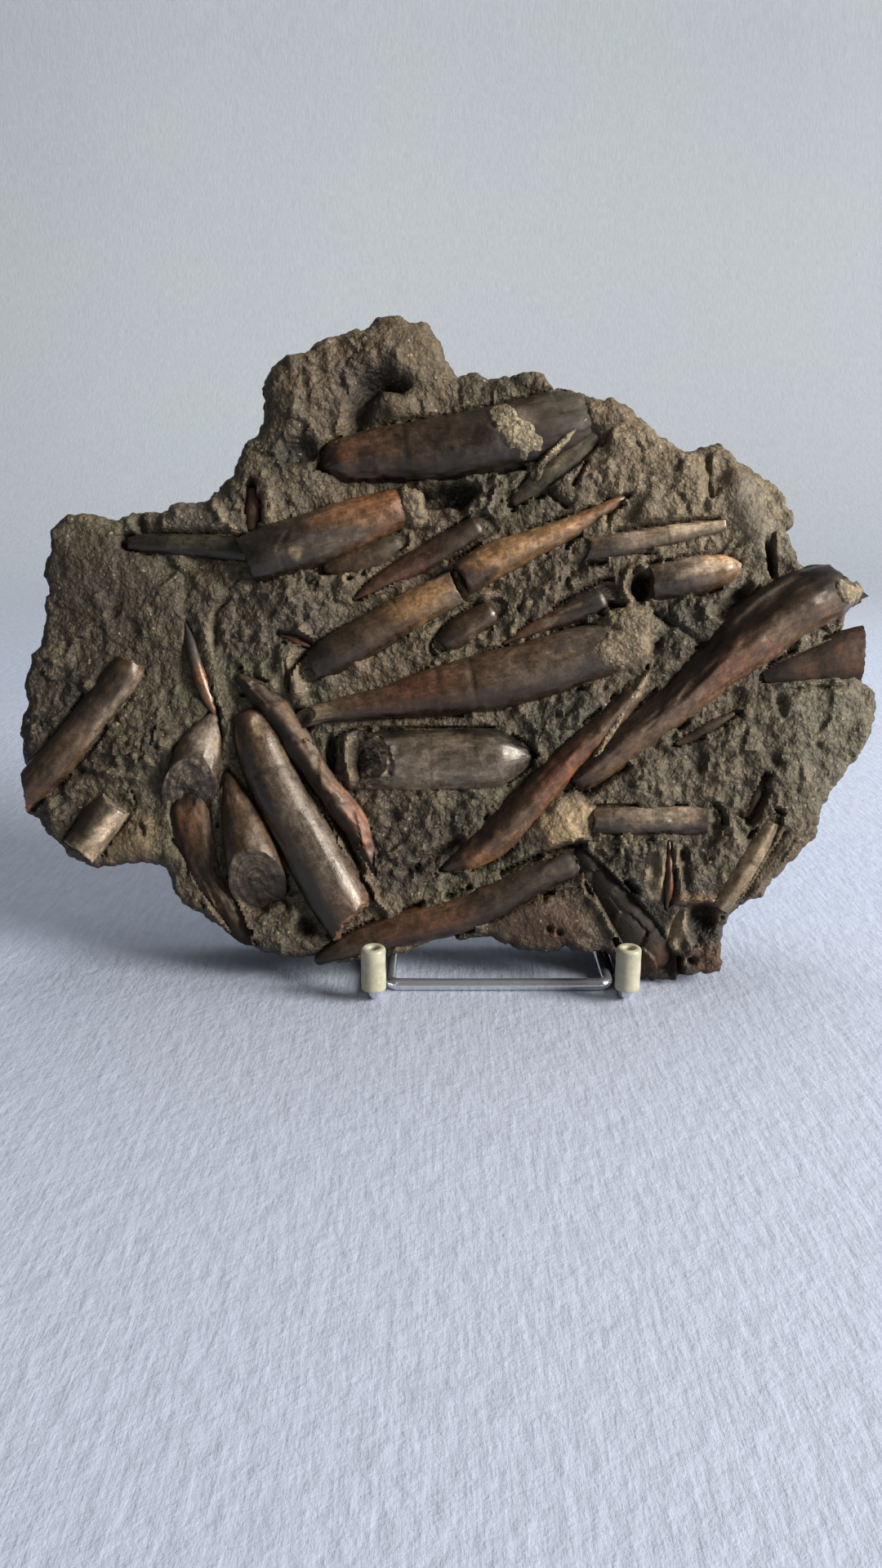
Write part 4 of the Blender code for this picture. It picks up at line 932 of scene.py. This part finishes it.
def makeGuard(name, guard):
    ends, seed = guard.get("breaks", {}), 40 + list(guards).index(name)
    centre, radius, knots = guard["centre"], guard["radius"], guard["knots"]
    length, widest = knots[-1], radius.max()
    around = int(np.clip(round(2 * math.pi * widest / guardLook["detail"] / 4) * 4, *guardLook["around"]))
    # the tube runs on far enough for the plane that cuts it
    before, after = (widest * max(1.4, 0.3 + math.tan(math.radians(ends[end][1]))) if end in ends else 0
                     for end in ("start", "end"))
    rings = max(guardLook["fewestRings"], round((length + before + after) / guardLook["detail"]))
    deselectAll()
    bpy.ops.mesh.primitive_cylinder_add(vertices=around, radius=1, depth=1, end_fill_type="NOTHING")
    piece = added("guard_" + name)
    select(piece, "edges", np.abs(np.diff(edgeEnds(piece)[..., 2])[:, 0]) > 0.5)
    bpy.ops.mesh.subdivide(number_cuts=rings - 1)
    leaveEdit()

    # the straight tube is led along the spine, with one ring drawn onto each crack
    places = spots(piece)
    angle = np.arctan2(places[:, 1], places[:, 0])
    s = (places[:, 2] + 0.5) * (length + before + after) - before
    cracks = [crack * length for crack in guard.get("cracks", [])]
    for crack in cracks:
        s[s == np.unique(s)[np.argmin(np.abs(np.unique(s) - crack))]] = crack
    t = np.clip(s, 0, length)

    def onSpine(t):
        return np.stack([throughKnots(np.clip(t, 0, length), knots, centre[:, k]) for k in range(3)], axis=1)

    tangent = unit(onSpine(t + 0.4) - onSpine(t - 0.4))
    axis = onSpine(t) + tangent * (s - t)[:, None]
    girth = throughKnots(t, knots, radius) * squeeze(t, ends, radius, length)
    across = unit(np.cross([0, 0, 1], tangent))
    outward = np.cross(tangent, across)
    body = np.stack([s, np.cos(angle) * girth, np.sin(angle) * girth], axis=1)
    rough = guard.get("rough", 1.0) * ramp(girth, 0.0, 3.0)
    broad = fractal(body * [0.5, 1, 1], 5.5, 3, seed=seed)
    striae = fractal(body * [0.16, 1, 1], 1.3, 3, seed=seed + 1)
    flake = ramp(fractal(body * [0.5, 1, 1], 5.0, 4, seed=seed + 2), 0.35, 0.45)
    swell = rough * (0.15 * broad + 0.05 * striae - 0.14 * flake + 0.04 * fractal(body, 1.1, 2, seed=seed + 3))
    for crack in cracks:
        onCrack = np.abs(s - crack) < guardLook["crackWidth"]
        swell -= guardLook["crackDepth"] * onCrack * ramp(broad, -0.6, 0.6)
    girth = np.maximum(girth + swell, 0.02)
    # a keeled back is more of a roof than a vault
    upper, keel = np.sin(angle) > 0, guard.get("keel", 0.0)
    roof = 1.4 * (1.0247 - np.sqrt(np.cos(angle) ** 2 + 0.05))
    tall = np.where(upper, guard["out"] * ((1 - keel) * np.sin(angle) + keel * roof), 0.9 * np.sin(angle))
    tall += upper * guard.get("facets", 0.0) * chips(body, 8, seed + 4) * np.sin(angle) / np.maximum(girth, 1)
    places = axis + across * (np.cos(angle) * girth)[:, None] + outward * (girth * tall)[:, None]
    for reach, depth in spread(places, guard.get("dents", []), 0.3, 1.1, 0.15 * broad):
        places -= outward * (depth * reach * upper)[:, None]
    moveSpots(piece, places)
    putAttribute(piece, "grain", np.stack([s, angle * widest, np.ones(len(s))], axis=1))

    # broken ends are cut off flat and worn hollow, the others are closed
    for end, how in ends.items():
        cutEnd(piece, guard, how, end == "start", seed)
    selectOpenEdges(piece)
    bpy.ops.mesh.edge_face_add()
    closeUp(guardLook["crisp"])
    paintGuard(piece, guard, seed)
    return piece


def cutEnd(piece, guard, how, atStart, seed):
    turn, tip, hollow, back, rough = how
    last, inner = (0, 1) if atStart else (-1, -2)
    radius = guard["radius"][last]
    out = unit(guard["centre"][last] - guard["centre"][inner])
    side = unit(np.cross([0, 0, 1], out))
    normal = Vector(out)
    normal.rotate(Matrix.Rotation(math.radians(turn), 3, "Z"))
    # the face tips out of the rock
    normal.rotate(Matrix.Rotation(-math.radians(tip), 3, Vector(side)))
    at = Vector(guard["centre"][last] - out * back)
    pick(piece)
    bpy.ops.object.mode_set(mode="EDIT")
    selectAll()
    bpy.ops.mesh.bisect(plane_co=at, plane_no=normal, use_fill=True, clear_outer=True)
    bpy.ops.mesh.select_mode(type="FACE")
    for left in range(guardLook["faceRings"], 0, -1):
        shrink = (left - 0.8) / (left + 0.2)
        extrude()
        bpy.ops.transform.resize(value=(shrink, shrink, shrink), center_override=at)
    leaveEdit()
    lengthwise = np.array(normal.cross(Vector(side)))
    places, normal = spots(piece), np.array(normal)
    offset = places - np.array(at)
    plane = offset @ normal
    onFace = np.abs(plane) < 1e-3
    flat = offset - plane[:, None] * normal
    # how far out on the oval face
    squash = math.cos(math.radians(tip))
    q = np.clip(np.hypot(flat @ side / radius, flat @ lengthwise * squash / (radius * guard["out"])), 0, 1.05)
    ripples = 0.09 * np.sin(q * 25) * (q < 0.95)
    crumbs = ((0.12 + 0.3 * rough) * fractal(places, 1.6, 4, 0.6, seed=seed + 5)
              + rough * chips(places, 2.2, seed + 6))
    sunk = (hollow * (1 - ramp(q, 0.15, 0.95)) + ripples + crumbs + 0.06) * onFace
    ragged = rough * fractal(places, 2.6, 3, seed=seed + 13) * np.exp(-(plane / 1.2) ** 2)
    moveSpots(piece, places - np.outer(sunk + 0.8 * ragged, normal))
    grain = getVectors(piece, "grain")
    grain[:, 2] = np.where(onFace & (q < 0.97), q * 0.93, grain[:, 2])
    putAttribute(piece, "grain", grain)


def paintGuard(piece, guard, seed):
    places, grain = spots(piece), getVectors(piece, "grain")
    length = guard["knots"][-1]
    s = np.clip(grain[:, 0] / length, 0, 1)
    bands = np.array([linear(tones[tone]) for tone in guard["bands"].split()])
    body = np.stack([grain[:, 0], places[:, 1], places[:, 2]], axis=1)
    drift = 0.05 * fractal(body, 4, 3, seed=seed + 7)
    steps = np.linspace(0, 1, len(bands))
    colours = np.stack([np.interp(s + drift, steps, bands[:, k]) for k in range(4)], axis=1)
    stir = 0.3 * fractal(places, 3.5, 3, seed=seed + 8)
    for reach, tone, amount in spread(places, guard.get("stains", []), 0.45, 1.15, stir):
        colours = mixTone(colours, tones[tone], amount * reach)
    face = grain[:, 2] < 0.99
    if "face" in guard:
        colours = mixTone(colours, tones[guard["face"]], 0.75 * face)
    heart = guard.get("heart", 0.3) * face * (1 - ramp(grain[:, 2], 0.1, 0.7))
    colours = mixTone(colours, tones["black"], heart)
    # grime and painted shade where the guard goes into the rock, darkest at the contact
    low = np.interp(s, guard["knots"] / length, guard["centre"][:, 2])
    rise = (places[:, 2] - low) / np.maximum(guard["radius"].max(), 1)
    dirtAndShade = 1 - ramp(rise + 0.12 * fractal(places, 2.5, 3, seed=seed + 9), -0.05, 0.3)
    colours = mixTone(colours, tones["black"], 0.65 * dirtAndShade)
    roughness = [how[-1] for how in guard.get("breaks", {}).values()]
    torn = max([rough for rough in roughness if rough > guardLook["plainBreak"]], default=0)
    specks = fractal(places, 1.3, 3, 0.6, seed=seed + 10).clip(-0.6, 1)
    colours[:, :3] *= (1 + 1.4 * torn * face * specks)[:, None]
    for crack in guard.get("cracks", []):
        onCrack = np.abs(grain[:, 0] - crack * length) < guardLook["crackWidth"]
        onCrack = onCrack * ramp(fractal(places, 3, 2, seed=seed), -0.3, 0.5)
        colours = mixTone(colours, tones["black"], 0.45 * onCrack)
    # painted shade on the flank away from the window, painted light on the flank toward it
    normals = read(piece.data.vertices, "normal")
    aside = normals @ np.array(guardLook["lit"])
    colours[:, :3] *= (1 - guard.get("leeShade", guardLook["leeShade"]) * ramp(-aside, -0.1, 0.6) * ~face
                       + guardLook["paintedLight"] * ramp(aside, 0.05, 0.75))[:, None]
    # painted light and painted shade on the flanks each guard lists under sides
    for turn, amount in guard.get("sides", []):
        toward = normals @ np.array([math.cos(math.radians(turn)), math.sin(math.radians(turn)), 0])
        colours[:, :3] *= (1 + amount * ramp(toward, 0.0, 0.75) * ~face)[:, None]
    colours[:, :3] *= np.array(guardLook["warmth"]) * guardLook["shade"]
    # the paint's fourth number is how much of its polish each place has kept
    stir = 0.2 * fractal(places, 3, 2, seed=seed + 12)
    for reach, amount in spread(places, guard.get("worn", []), 0.7, 1.2, stir):
        colours[:, 3] *= 1 - amount * reach
    putAttribute(piece, "paint", colours)


guardPieces = {name: makeGuard(name, guard) for name, guard in guards.items()}
print("guards:", sum(len(piece.data.polygons) for piece in guardPieces.values()), "faces")

# Everything on the plate is turned from the plate's axes to where it leans.
for piece in [matrixRock, *guardPieces.values()]:
    piece.data.transform(plateMatrix)
    piece.data.update()

# The stand: two bent wires and a sleeve on each hook.
stand = {
    "wire": 1.5, "middleX": 12.6, "hookSpacing": 60.5, "hookY": -44.9, "hookTop": 12.4, "bend": 4.0,
    "backHeight": 92.0, "backCorner": 12.0, "loopWidth": 53.6, "loopFrontY": -37.3, "loopRearY": 49.6,
    "strutTop": 62.0, "loopCorner": 2.4, "ground": 1.5, "sleeve": 3.0, "sleeveTop": 14.8, "sleeveFoot": 4.2,
    "sleeveHole": 1.15, "holeDepth": 2.2, "play": 0.12, "footHoleDepth": 1.6, "lipTop": 0.85, "lipFoot": 0.35,
    "waist": 0.02, "uneven": 0.012, "behind": 0.3, "bendSteps": 10, "lipSteps": 5, "around": 48, "belts": 12,
    "wireCrisp": 40, "sleeveCrisp": 50,
}


def behindPlate(height):
    # the wire's axis where it lies along the plate's back
    lean, back = math.radians(plate["lean"]), rock["thickness"] + stand["behind"] + stand["wire"]
    v = (height - plate["footZ"] + back * math.sin(lean)) / math.cos(lean)
    return plate["footY"] + v * math.sin(lean) + back * math.cos(lean), height


def makeWire(name, corners, bends, closed):
    corners = [Vector(corner) for corner in corners]
    deselectAll()
    bpy.ops.mesh.primitive_plane_add(size=1, location=corners[0] * mm)
    piece = added(name)
    applyPlace(piece)
    edit()
    selectAll()
    bpy.ops.mesh.merge(type="CENTER")
    for start, stop in zip(corners, corners[1:] + corners[:closed]):
        extrude(*(stop - start) * mm)
    selectAll()
    bpy.ops.mesh.remove_doubles(threshold=1e-5)
    leaveEdit()
    for i, (corner, bend) in enumerate(zip(corners, bends)):
        if bend:
            before, after = corner - corners[i - 1], corners[(i + 1) % len(corners)] - corner
            away = np.linalg.norm(spots(piece) - np.array(corner) * mm, axis=1)
            select(piece, "vertices", away < 1e-5)
            # a bend of this radius starts so far from the corner
            offset = bend * math.tan(before.angle(after) / 2) * mm
            bpy.ops.mesh.bevel(offset=offset, segments=stand["bendSteps"], affect="VERTICES")
            leaveEdit()
    bpy.ops.object.convert(target="CURVE")
    piece.data.bevel_depth = stand["wire"] * mm
    piece.data.bevel_resolution = 6
    piece.data.use_fill_caps = True
    bpy.ops.object.convert(target="MESH")
    edit()
    selectAll()
    bpy.ops.mesh.remove_doubles(threshold=1e-6)
    closeUp(stand["wireCrisp"])
    return added(name)


def makeStand():
    ground, hookY, hookTop = stand["ground"], stand["hookY"], stand["hookTop"]
    frontY, rearY = stand["loopFrontY"], stand["loopRearY"]
    bend, corner, small = stand["bend"], stand["backCorner"], stand["loopCorner"]
    footY, top, strut = behindPlate(ground)[0], behindPlate(stand["backHeight"]), behindPlate(stand["strutTop"])
    left, right = (stand["middleX"] + side * stand["hookSpacing"] / 2 for side in (-1, 1))
    back = makeWire("standBack", [
        (left, hookY, hookTop), (left, hookY, ground), (left, footY, ground), (left, *top),
        (right, *top), (right, footY, ground), (right, hookY, ground), (right, hookY, hookTop),
    ], [0, bend, bend, corner, corner, bend, bend, 0], False)
    left, right = (stand["middleX"] + side * stand["loopWidth"] / 2 for side in (-1, 1))
    loop = makeWire("standLoop", [
        (right, frontY, ground), (right, rearY, ground), (right, *strut),
        (left, *strut), (left, rearY, ground), (left, frontY, ground),
    ], [small, bend, small, small, bend, small], True)
    return back, loop


def makeSleeve(name, x):
    y, top, foot = stand["hookY"] * mm, stand["sleeveTop"] * mm, stand["sleeveFoot"] * mm
    tall = stand["sleeveTop"] - stand["sleeveFoot"]
    deselectAll()
    bpy.ops.mesh.primitive_cylinder_add(vertices=stand["around"], radius=stand["sleeve"] * mm, depth=tall * mm,
                                        location=(x * mm, y, (stand["sleeveFoot"] + tall / 2) * mm))
    piece = added(name)
    applyPlace(piece)
    for facing, hole, deep in ((1, stand["sleeveHole"], -stand["holeDepth"]),
                               (-1, stand["wire"] + stand["play"], stand["footHoleDepth"])):
        select(piece, "polygons", read(piece.data.polygons, "normal")[:, 2] * facing > 0.9)
        bpy.ops.mesh.inset(thickness=(stand["sleeve"] - hole) * mm)
        extrude(0, 0, deep * mm)
        leaveEdit()
    # the lips are rounded, the wall has belts for a slight waist
    for height, lip in ((top, stand["lipTop"]), (foot, stand["lipFoot"])):
        ends = edgeEnds(piece)
        reach = np.hypot(ends[..., 0] - x * mm, ends[..., 1] - y)
        select(piece, "edges", (np.abs(ends[..., 2] - height) < 1e-6).all(axis=1)
               & (np.abs(np.diff(reach)[:, 0]) < 1e-6))
        bpy.ops.mesh.bevel(offset=lip * mm, segments=stand["lipSteps"], affect="EDGES")
        leaveEdit()
    select(piece, "edges", np.abs(np.diff(edgeEnds(piece)[..., 2])[:, 0]) > 5 * mm)
    bpy.ops.mesh.subdivide(number_cuts=stand["belts"])
    leaveEdit()
    places, middle = spots(piece), np.array([x * mm, y])
    pull = (1 + stand["uneven"] * fractal(places * 1000, 3.0, 2, seed=int(x) + 90)
            - stand["waist"] * np.sin((places[:, 2] - foot) / (top - foot) * math.pi))
    places[:, :2] = middle + (places[:, :2] - middle) * pull[:, None]
    moveSpots(piece, places)
    smoothBelow(stand["sleeveCrisp"])
    return piece


print("stand: wires and sleeves")
standBack, standLoop = makeStand()
sleeves = {side: makeSleeve("sleeve" + side.title(), stand["middleX"] + sign * stand["hookSpacing"] / 2)
           for side, sign in (("left", -1), ("right", 1))}


# Finishes.
class finishMaker:
    # lays out one material's nodes
    def __init__(self, name):
        self.material = bpy.data.materials.new(name)
        self.material.use_nodes = True
        self.tree = self.material.node_tree
        self.place = self.add("ShaderNodeTexCoord").outputs["Object"]

    def put(self, node, inputs):
        for socket, value in inputs.items():
            if isinstance(value, bpy.types.NodeSocket):
                self.tree.links.new(value, node.inputs[socket])
            else:
                node.inputs[socket].default_value = value
        return node

    def add(self, kind, inputs=None, **settings):
        made = self.tree.nodes.new(kind)
        for key, value in settings.items():
            setattr(made, key, value)
        return self.put(made, inputs or {})

    def math(self, operation, a, b=0.0, clamp=False):
        return self.add("ShaderNodeMath", {0: a, 1: b}, operation=operation, use_clamp=clamp).outputs[0]

    def times(self, a, b):
        return self.math("MULTIPLY", a, b)

    def plus(self, a, b, clamp=False):
        return self.math("ADD", a, b, clamp)

    def noise(self, scale, detail=4.0, roughness=0.55, place=None, stretch=None):
        at = place or self.place
        if stretch:
            at = self.add("ShaderNodeMapping", {"Scale": stretch, "Vector": at}).outputs["Vector"]
        inputs = {"Vector": at, "Scale": scale, "Detail": detail, "Roughness": roughness}
        return self.add("ShaderNodeTexNoise", inputs).outputs["Fac"]

    def stirred(self, scale, amount):
        # the object's coordinates pushed about by noise
        noise = self.add("ShaderNodeTexNoise", {"Scale": scale, "Vector": self.place}).outputs["Color"]
        return self.add("ShaderNodeVectorMath", {0: noise, 1: (amount, amount, amount), 2: self.place},
                        operation="MULTIPLY_ADD").outputs[0]

    def cells(self, scale, feature="F1", place=None):
        inputs = {"Scale": scale, "Vector": place or self.place}
        return self.add("ShaderNodeTexVoronoi", inputs, feature=feature).outputs

    def split(self, vector):
        return self.add("ShaderNodeSeparateXYZ", {0: vector}).outputs

    def between(self, value, low, high, outLow=0.0, outHigh=1.0):
        inputs = {"Value": value, "From Min": low, "From Max": high, "To Min": outLow, "To Max": outHigh}
        return self.add("ShaderNodeMapRange", inputs, interpolation_type="SMOOTHSTEP").outputs["Result"]

    def mix(self, amount, a, b, blend="MIX"):
        return self.add("ShaderNodeMix", {"Factor": amount, "A": a, "B": b}, data_type="RGBA",
                        blend_type=blend).outputs["Result"]

    def shaded(self, colour, *pattern, amount=1.0):
        # darker and lighter where a pattern runs from low to high
        return self.mix(amount, colour, self.between(*pattern), "MULTIPLY")

    def attribute(self, name, output="Color"):
        return self.add("ShaderNodeAttribute", attribute_name=name).outputs[output]

    def bump(self, height, strength, distance, below=None):
        lower = {"Normal": below} if below else {}
        return self.add("ShaderNodeBump", {"Strength": strength, "Distance": distance * mm, "Height": height,
                                           **lower}).outputs["Normal"]

    def finish(self, **sockets):
        self.put(self.tree.nodes["Principled BSDF"],
                 {name.replace("_", " "): value for name, value in sockets.items()})
        return self.material


def stoneFinish():
    made = finishMaker("crumblyStone")
    grit = made.between(made.attribute("paint", "Alpha"), 0.0, 1.0, 0.5, 1.0)
    fine = made.noise(1500, 4, 0.6)
    colour = made.shaded(made.attribute("paint"), made.noise(240, 6, 0.65), 0.28, 0.72, 0.81, 1.19)
    # angular grains of two sizes, each with a tone of its own and darker towards its rim, painted shade in the
    # crease between grains
    stirred = made.stirred(700, 0.0011)
    large, small = made.cells(640, place=stirred), made.cells(1250, place=stirred)
    for grains, dark, bright in ((large, 0.88, 1.13), (small, 0.86, 1.17)):
        colour = made.shaded(colour, grains["Color"], 0.05, 0.95, dark, bright, amount=grit)
        colour = made.shaded(colour, grains["Distance"], 0.25, 0.75, 1.06, 0.78, amount=grit)
    colour = made.shaded(colour, fine, 0.3, 0.7, 0.8, 1.2)
    # scattered pale grains
    pale = made.times(made.between(small["Distance"], 0.5, 0.3), made.between(small["Color"], 0.86, 0.92))
    colour = made.mix(made.times(pale, 0.45), colour, linear((176, 162, 140)))
    normal = None
    for grains, strength, deep in ((large, 0.55, 0.6), (small, 0.5, 0.35)):
        dome = made.times(made.between(grains["Distance"], 0.0, 0.85, 1.0, 0.0), grit)
        normal = made.bump(dome, strength, deep, normal)
    return made.finish(Base_Color=colour, Roughness=made.between(fine, 0.3, 0.7, 0.5, 0.9),
                       Normal=made.bump(fine, 0.4, 0.25, normal), Specular_IOR_Level=0.45)


def calciteFinish(name, gloss, specular):
    made = finishMaker(name)
    grain = made.attribute("grain", "Vector")
    faceReach = made.split(grain)["Z"]
    streaks = made.noise(0.9, 5, 0.6, place=grain, stretch=(0.18, 1.1, 1.0))
    mottle = made.noise(190, 5, 0.6)
    fine = made.noise(1700, 4, 0.6)
    colour = made.shaded(made.attribute("paint"), streaks, 0.28, 0.72, 0.78, 1.22)
    colour = made.shaded(colour, mottle, 0.3, 0.7, 0.66, 1.36)
    colour = made.shaded(colour, made.noise(560, 5, 0.7), 0.32, 0.68, 0.62, 1.4)
    colour = made.shaded(colour, fine, 0.3, 0.7, 0.8, 1.2)
    # growth rings on the broken ends
    onFace = made.between(faceReach, 0.96, 0.93)
    wave = made.math("SINE", made.plus(made.times(faceReach, 62.0), made.times(mottle, 14.0)))
    colour = made.mix(onFace, colour, made.shaded(colour, wave, -0.9, 0.9, 0.72, 1.2))
    # hair cracks that net the surface, and pale scuffs
    net = made.cells(0.21, "DISTANCE_TO_EDGE", place=grain)["Distance"]
    hair = made.times(made.between(net, 0.012, 0.004), made.between(mottle, 0.5, 0.58))
    colour = made.mix(made.times(hair, 0.6), colour, linear((28, 22, 18)))
    scuff = made.between(made.noise(1.5, 5, 0.7, place=grain, stretch=(1.0, 0.35, 1.0)), 0.66, 0.74)
    colour = made.mix(made.times(scuff, 0.35), colour, linear((168, 150, 128)))
    worn = made.math("SUBTRACT", 1.0, made.attribute("paint", "Alpha"))
    rough = made.plus(made.between(mottle, 0.3, 0.7, gloss - 0.07, gloss + 0.14),
                      made.between(fine, 0.35, 0.75, 0.0, 0.1))
    rough = made.plus(made.plus(rough, made.times(onFace, 0.2)), made.times(worn, 0.4), True)
    normal = made.bump(made.noise(1100, 5, 0.65), 0.3, 0.16, made.bump(streaks, 0.25, 0.3))
    return made.finish(Base_Color=colour, Roughness=rough, Normal=normal, Specular_IOR_Level=specular,
                       Specular_Tint=(1.0, 0.89, 0.78, 1.0))


def chromeFinish():
    made = finishMaker("platedWire")
    haze, pits = made.noise(350, 5, 0.6), made.between(made.noise(1900, 3, 0.6), 0.62, 0.72)
    colour = made.mix(pits, linear((212, 212, 217)), linear((150, 138, 126)))
    rough = made.plus(made.between(haze, 0.3, 0.7, 0.1, 0.24), made.times(pits, 0.2))
    return made.finish(Base_Color=colour, Metallic=0.86, Roughness=rough,
                       Normal=made.bump(made.noise(700, 3, 0.5), 0.08, 0.1))


def sleeveFinish():
    made = finishMaker("creamPlastic")
    cloudy = made.noise(420, 4, 0.6)
    colour = made.mix(made.between(cloudy, 0.3, 0.7), linear((160, 158, 136)), linear((186, 180, 156)))
    grime = made.between(made.noise(900, 5, 0.7), 0.6, 0.75)
    colour = made.mix(made.times(grime, 0.25), colour, linear((150, 140, 118)))
    return made.finish(Base_Color=colour, Roughness=made.between(cloudy, 0.3, 0.7, 0.3, 0.45),
                       Normal=made.bump(made.noise(1300, 4, 0.6), 0.15, 0.12), Specular_IOR_Level=0.5,
                       Subsurface_Weight=0.35, Subsurface_Radius=(0.003, 0.0028, 0.0022))


def paperFinish():
    made = finishMaker("paleBackdrop")
    threads = made.noise(95, 4, 0.6, stretch=(7.0, 1.0, 1.0))
    fleck, cloud = made.noise(240, 5, 0.65), made.noise(3.5, 3, 0.5)
    place = made.split(made.place)
    tint = made.mix(made.between(place["Y"], 0.15, 1.6), linear((171, 180, 197)), linear((182, 189, 192)))
    colour = made.mix(made.times(made.between(cloud, 0.3, 0.7), 0.35), tint, linear((178, 181, 191)))
    colour = made.shaded(colour, threads, 0.3, 0.7, 0.93, 1.06)
    # painted light a little paler to the right in front, towards the window, and painted shade a little darker
    # to the right behind
    across = made.mix(made.between(place["Y"], 0.3, 1.0), made.between(place["X"], -0.1, 0.2, 0.97, 1.14),
                      made.between(place["X"], -0.5, 0.5, 1.02, 0.8))
    return made.finish(Base_Color=made.mix(1.0, colour, across, "MULTIPLY"), Roughness=0.95,
                       Normal=made.bump(threads, 0.3, 0.7, made.bump(fleck, 0.6, 0.9)), Specular_IOR_Level=0.15)


print("finishes")
stone, chrome, cream, paper = stoneFinish(), chromeFinish(), sleeveFinish(), paperFinish()
calcite = {
    "calcite_dark": calciteFinish("darkCalcite", 0.31, 0.65),
    "calcite_brown": calciteFinish("brownCalcite", 0.30, 0.65),
    "calcite_pale": calciteFinish("paleCalcite", 0.29, 0.75),
}
dullCalcite = calciteFinish("dullCalcite", 0.5, 0.35)
dullGuards = "charcoal greenish lower_left edge_strip under_right small_dark small_lens right_cone".split()
slots = {
    "calcite_dark": "top_big left_thin small_lens centre_dark dark_slip left_long bottom small_dark "
                    "under_right strip charcoal",
    "calcite_brown": "middle_stub long_cone crushed_ridge lower_left ring_end right_big crossing red_tip "
                     "right_cone red_blade sliver",
    "calcite_pale": "upper_left bullet bright left_stub left_short upper_right_thin cylinder edge_strip "
                    "greenish golden lit needle",
}


def settle(piece, finish, node):
    piece.data.materials.clear()
    piece.data.materials.append(finish)
    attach(piece, "root")
    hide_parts(node)


settle(matrixRock, stone, "matrix")
for slot, members in slots.items():
    for name in members.split():
        finish = dullCalcite if name in dullGuards else calcite[slot]
        settle(guardPieces[name], finish, "belemnite_" + name)
settle(standBack, chrome, "stand_back_frame")
settle(standLoop, chrome, "stand_base_frame")
for side, sleeve in sleeves.items():
    settle(sleeve, cream, "sleeve_" + side)

# The sweep it stands on.
print("studio")
studio = {"width": 9.0, "front": -4.0, "back": 1.5, "height": 3.5, "curve": 0.7, "curveSteps": 24, "near": 0.01}
deselectAll()
bpy.ops.mesh.primitive_plane_add(size=1, location=(0, (studio["front"] + studio["back"]) / 2, 0))
sweep = added("paperSweep")
sweep.scale = (studio["width"], studio["back"] - studio["front"], 1)
applyPlace(sweep)
select(sweep, "edges", (edgeEnds(sweep)[..., 1] > studio["back"] - studio["near"]).all(axis=1))
extrude(0, 0, studio["height"])
leaveEdit()
ends = edgeEnds(sweep)
atCorner = (ends[..., 1] > studio["back"] - studio["near"]) & (ends[..., 2] < studio["near"])
select(sweep, "edges", atCorner.all(axis=1))
bpy.ops.mesh.bevel(offset=studio["curve"], segments=studio["curveSteps"], affect="EDGES")
selectAll()
bpy.ops.mesh.normals_make_consistent(inside=False)
leaveEdit()
bpy.ops.object.shade_smooth()
sweep.data.materials.append(paper)

# Light: one soft window on the right, the room's own pale light, and a little from the wall
# behind that keeps the shadow on the floor open.
light = {
    "window": {"place": (1.85, -0.92, 0.92), "aim": (0, 0, 0.08), "size": 0.95, "power": 97,
               "tone": (1.0, 0.975, 0.94), "mirrored": True},
    "wall": {"place": (0.45, 0.95, 2.1), "aim": (0, 0, 0), "size": 1.6, "power": 26,
             "tone": (1.0, 1.0, 1.0), "mirrored": False},
    "roomTone": (1.0, 0.99, 0.97), "room": 0.14,
}
for name in ("window", "wall"):
    lamp = light[name]
    bpy.ops.object.light_add(type="AREA", location=lamp["place"])
    made = bpy.context.object
    made.name = name + "Light"
    made.rotation_euler = (Vector(lamp["place"]) - Vector(lamp["aim"])).to_track_quat("Z", "Y").to_euler()
    made.data.size, made.data.energy, made.data.color = lamp["size"], lamp["power"], lamp["tone"]
    made.visible_camera = False
    made.visible_glossy = lamp["mirrored"]

scene = bpy.context.scene
scene.world = bpy.data.worlds.new("room")
scene.world.use_nodes = True
background = scene.world.node_tree.nodes["Background"].inputs
background["Color"].default_value = (*light["roomTone"], 1)
background["Strength"].default_value = light["room"]
scene.view_settings.view_transform = "Standard"

# Camera: square to the plate's face.
view = {"place": (-1.6, -294.0, 126.3), "tilt": 74, "lens": 26.26, "film": 36, "nearest": 0.01}
bpy.ops.object.camera_add(location=Vector(view["place"]) * mm, rotation=(math.radians(view["tilt"]), 0, 0))
camera = bpy.context.object
camera.name = "camera"
camera.data.lens, camera.data.sensor_width, camera.data.clip_start = view["lens"], view["film"], view["nearest"]
scene.camera = camera

bpy.context.view_layer.update()
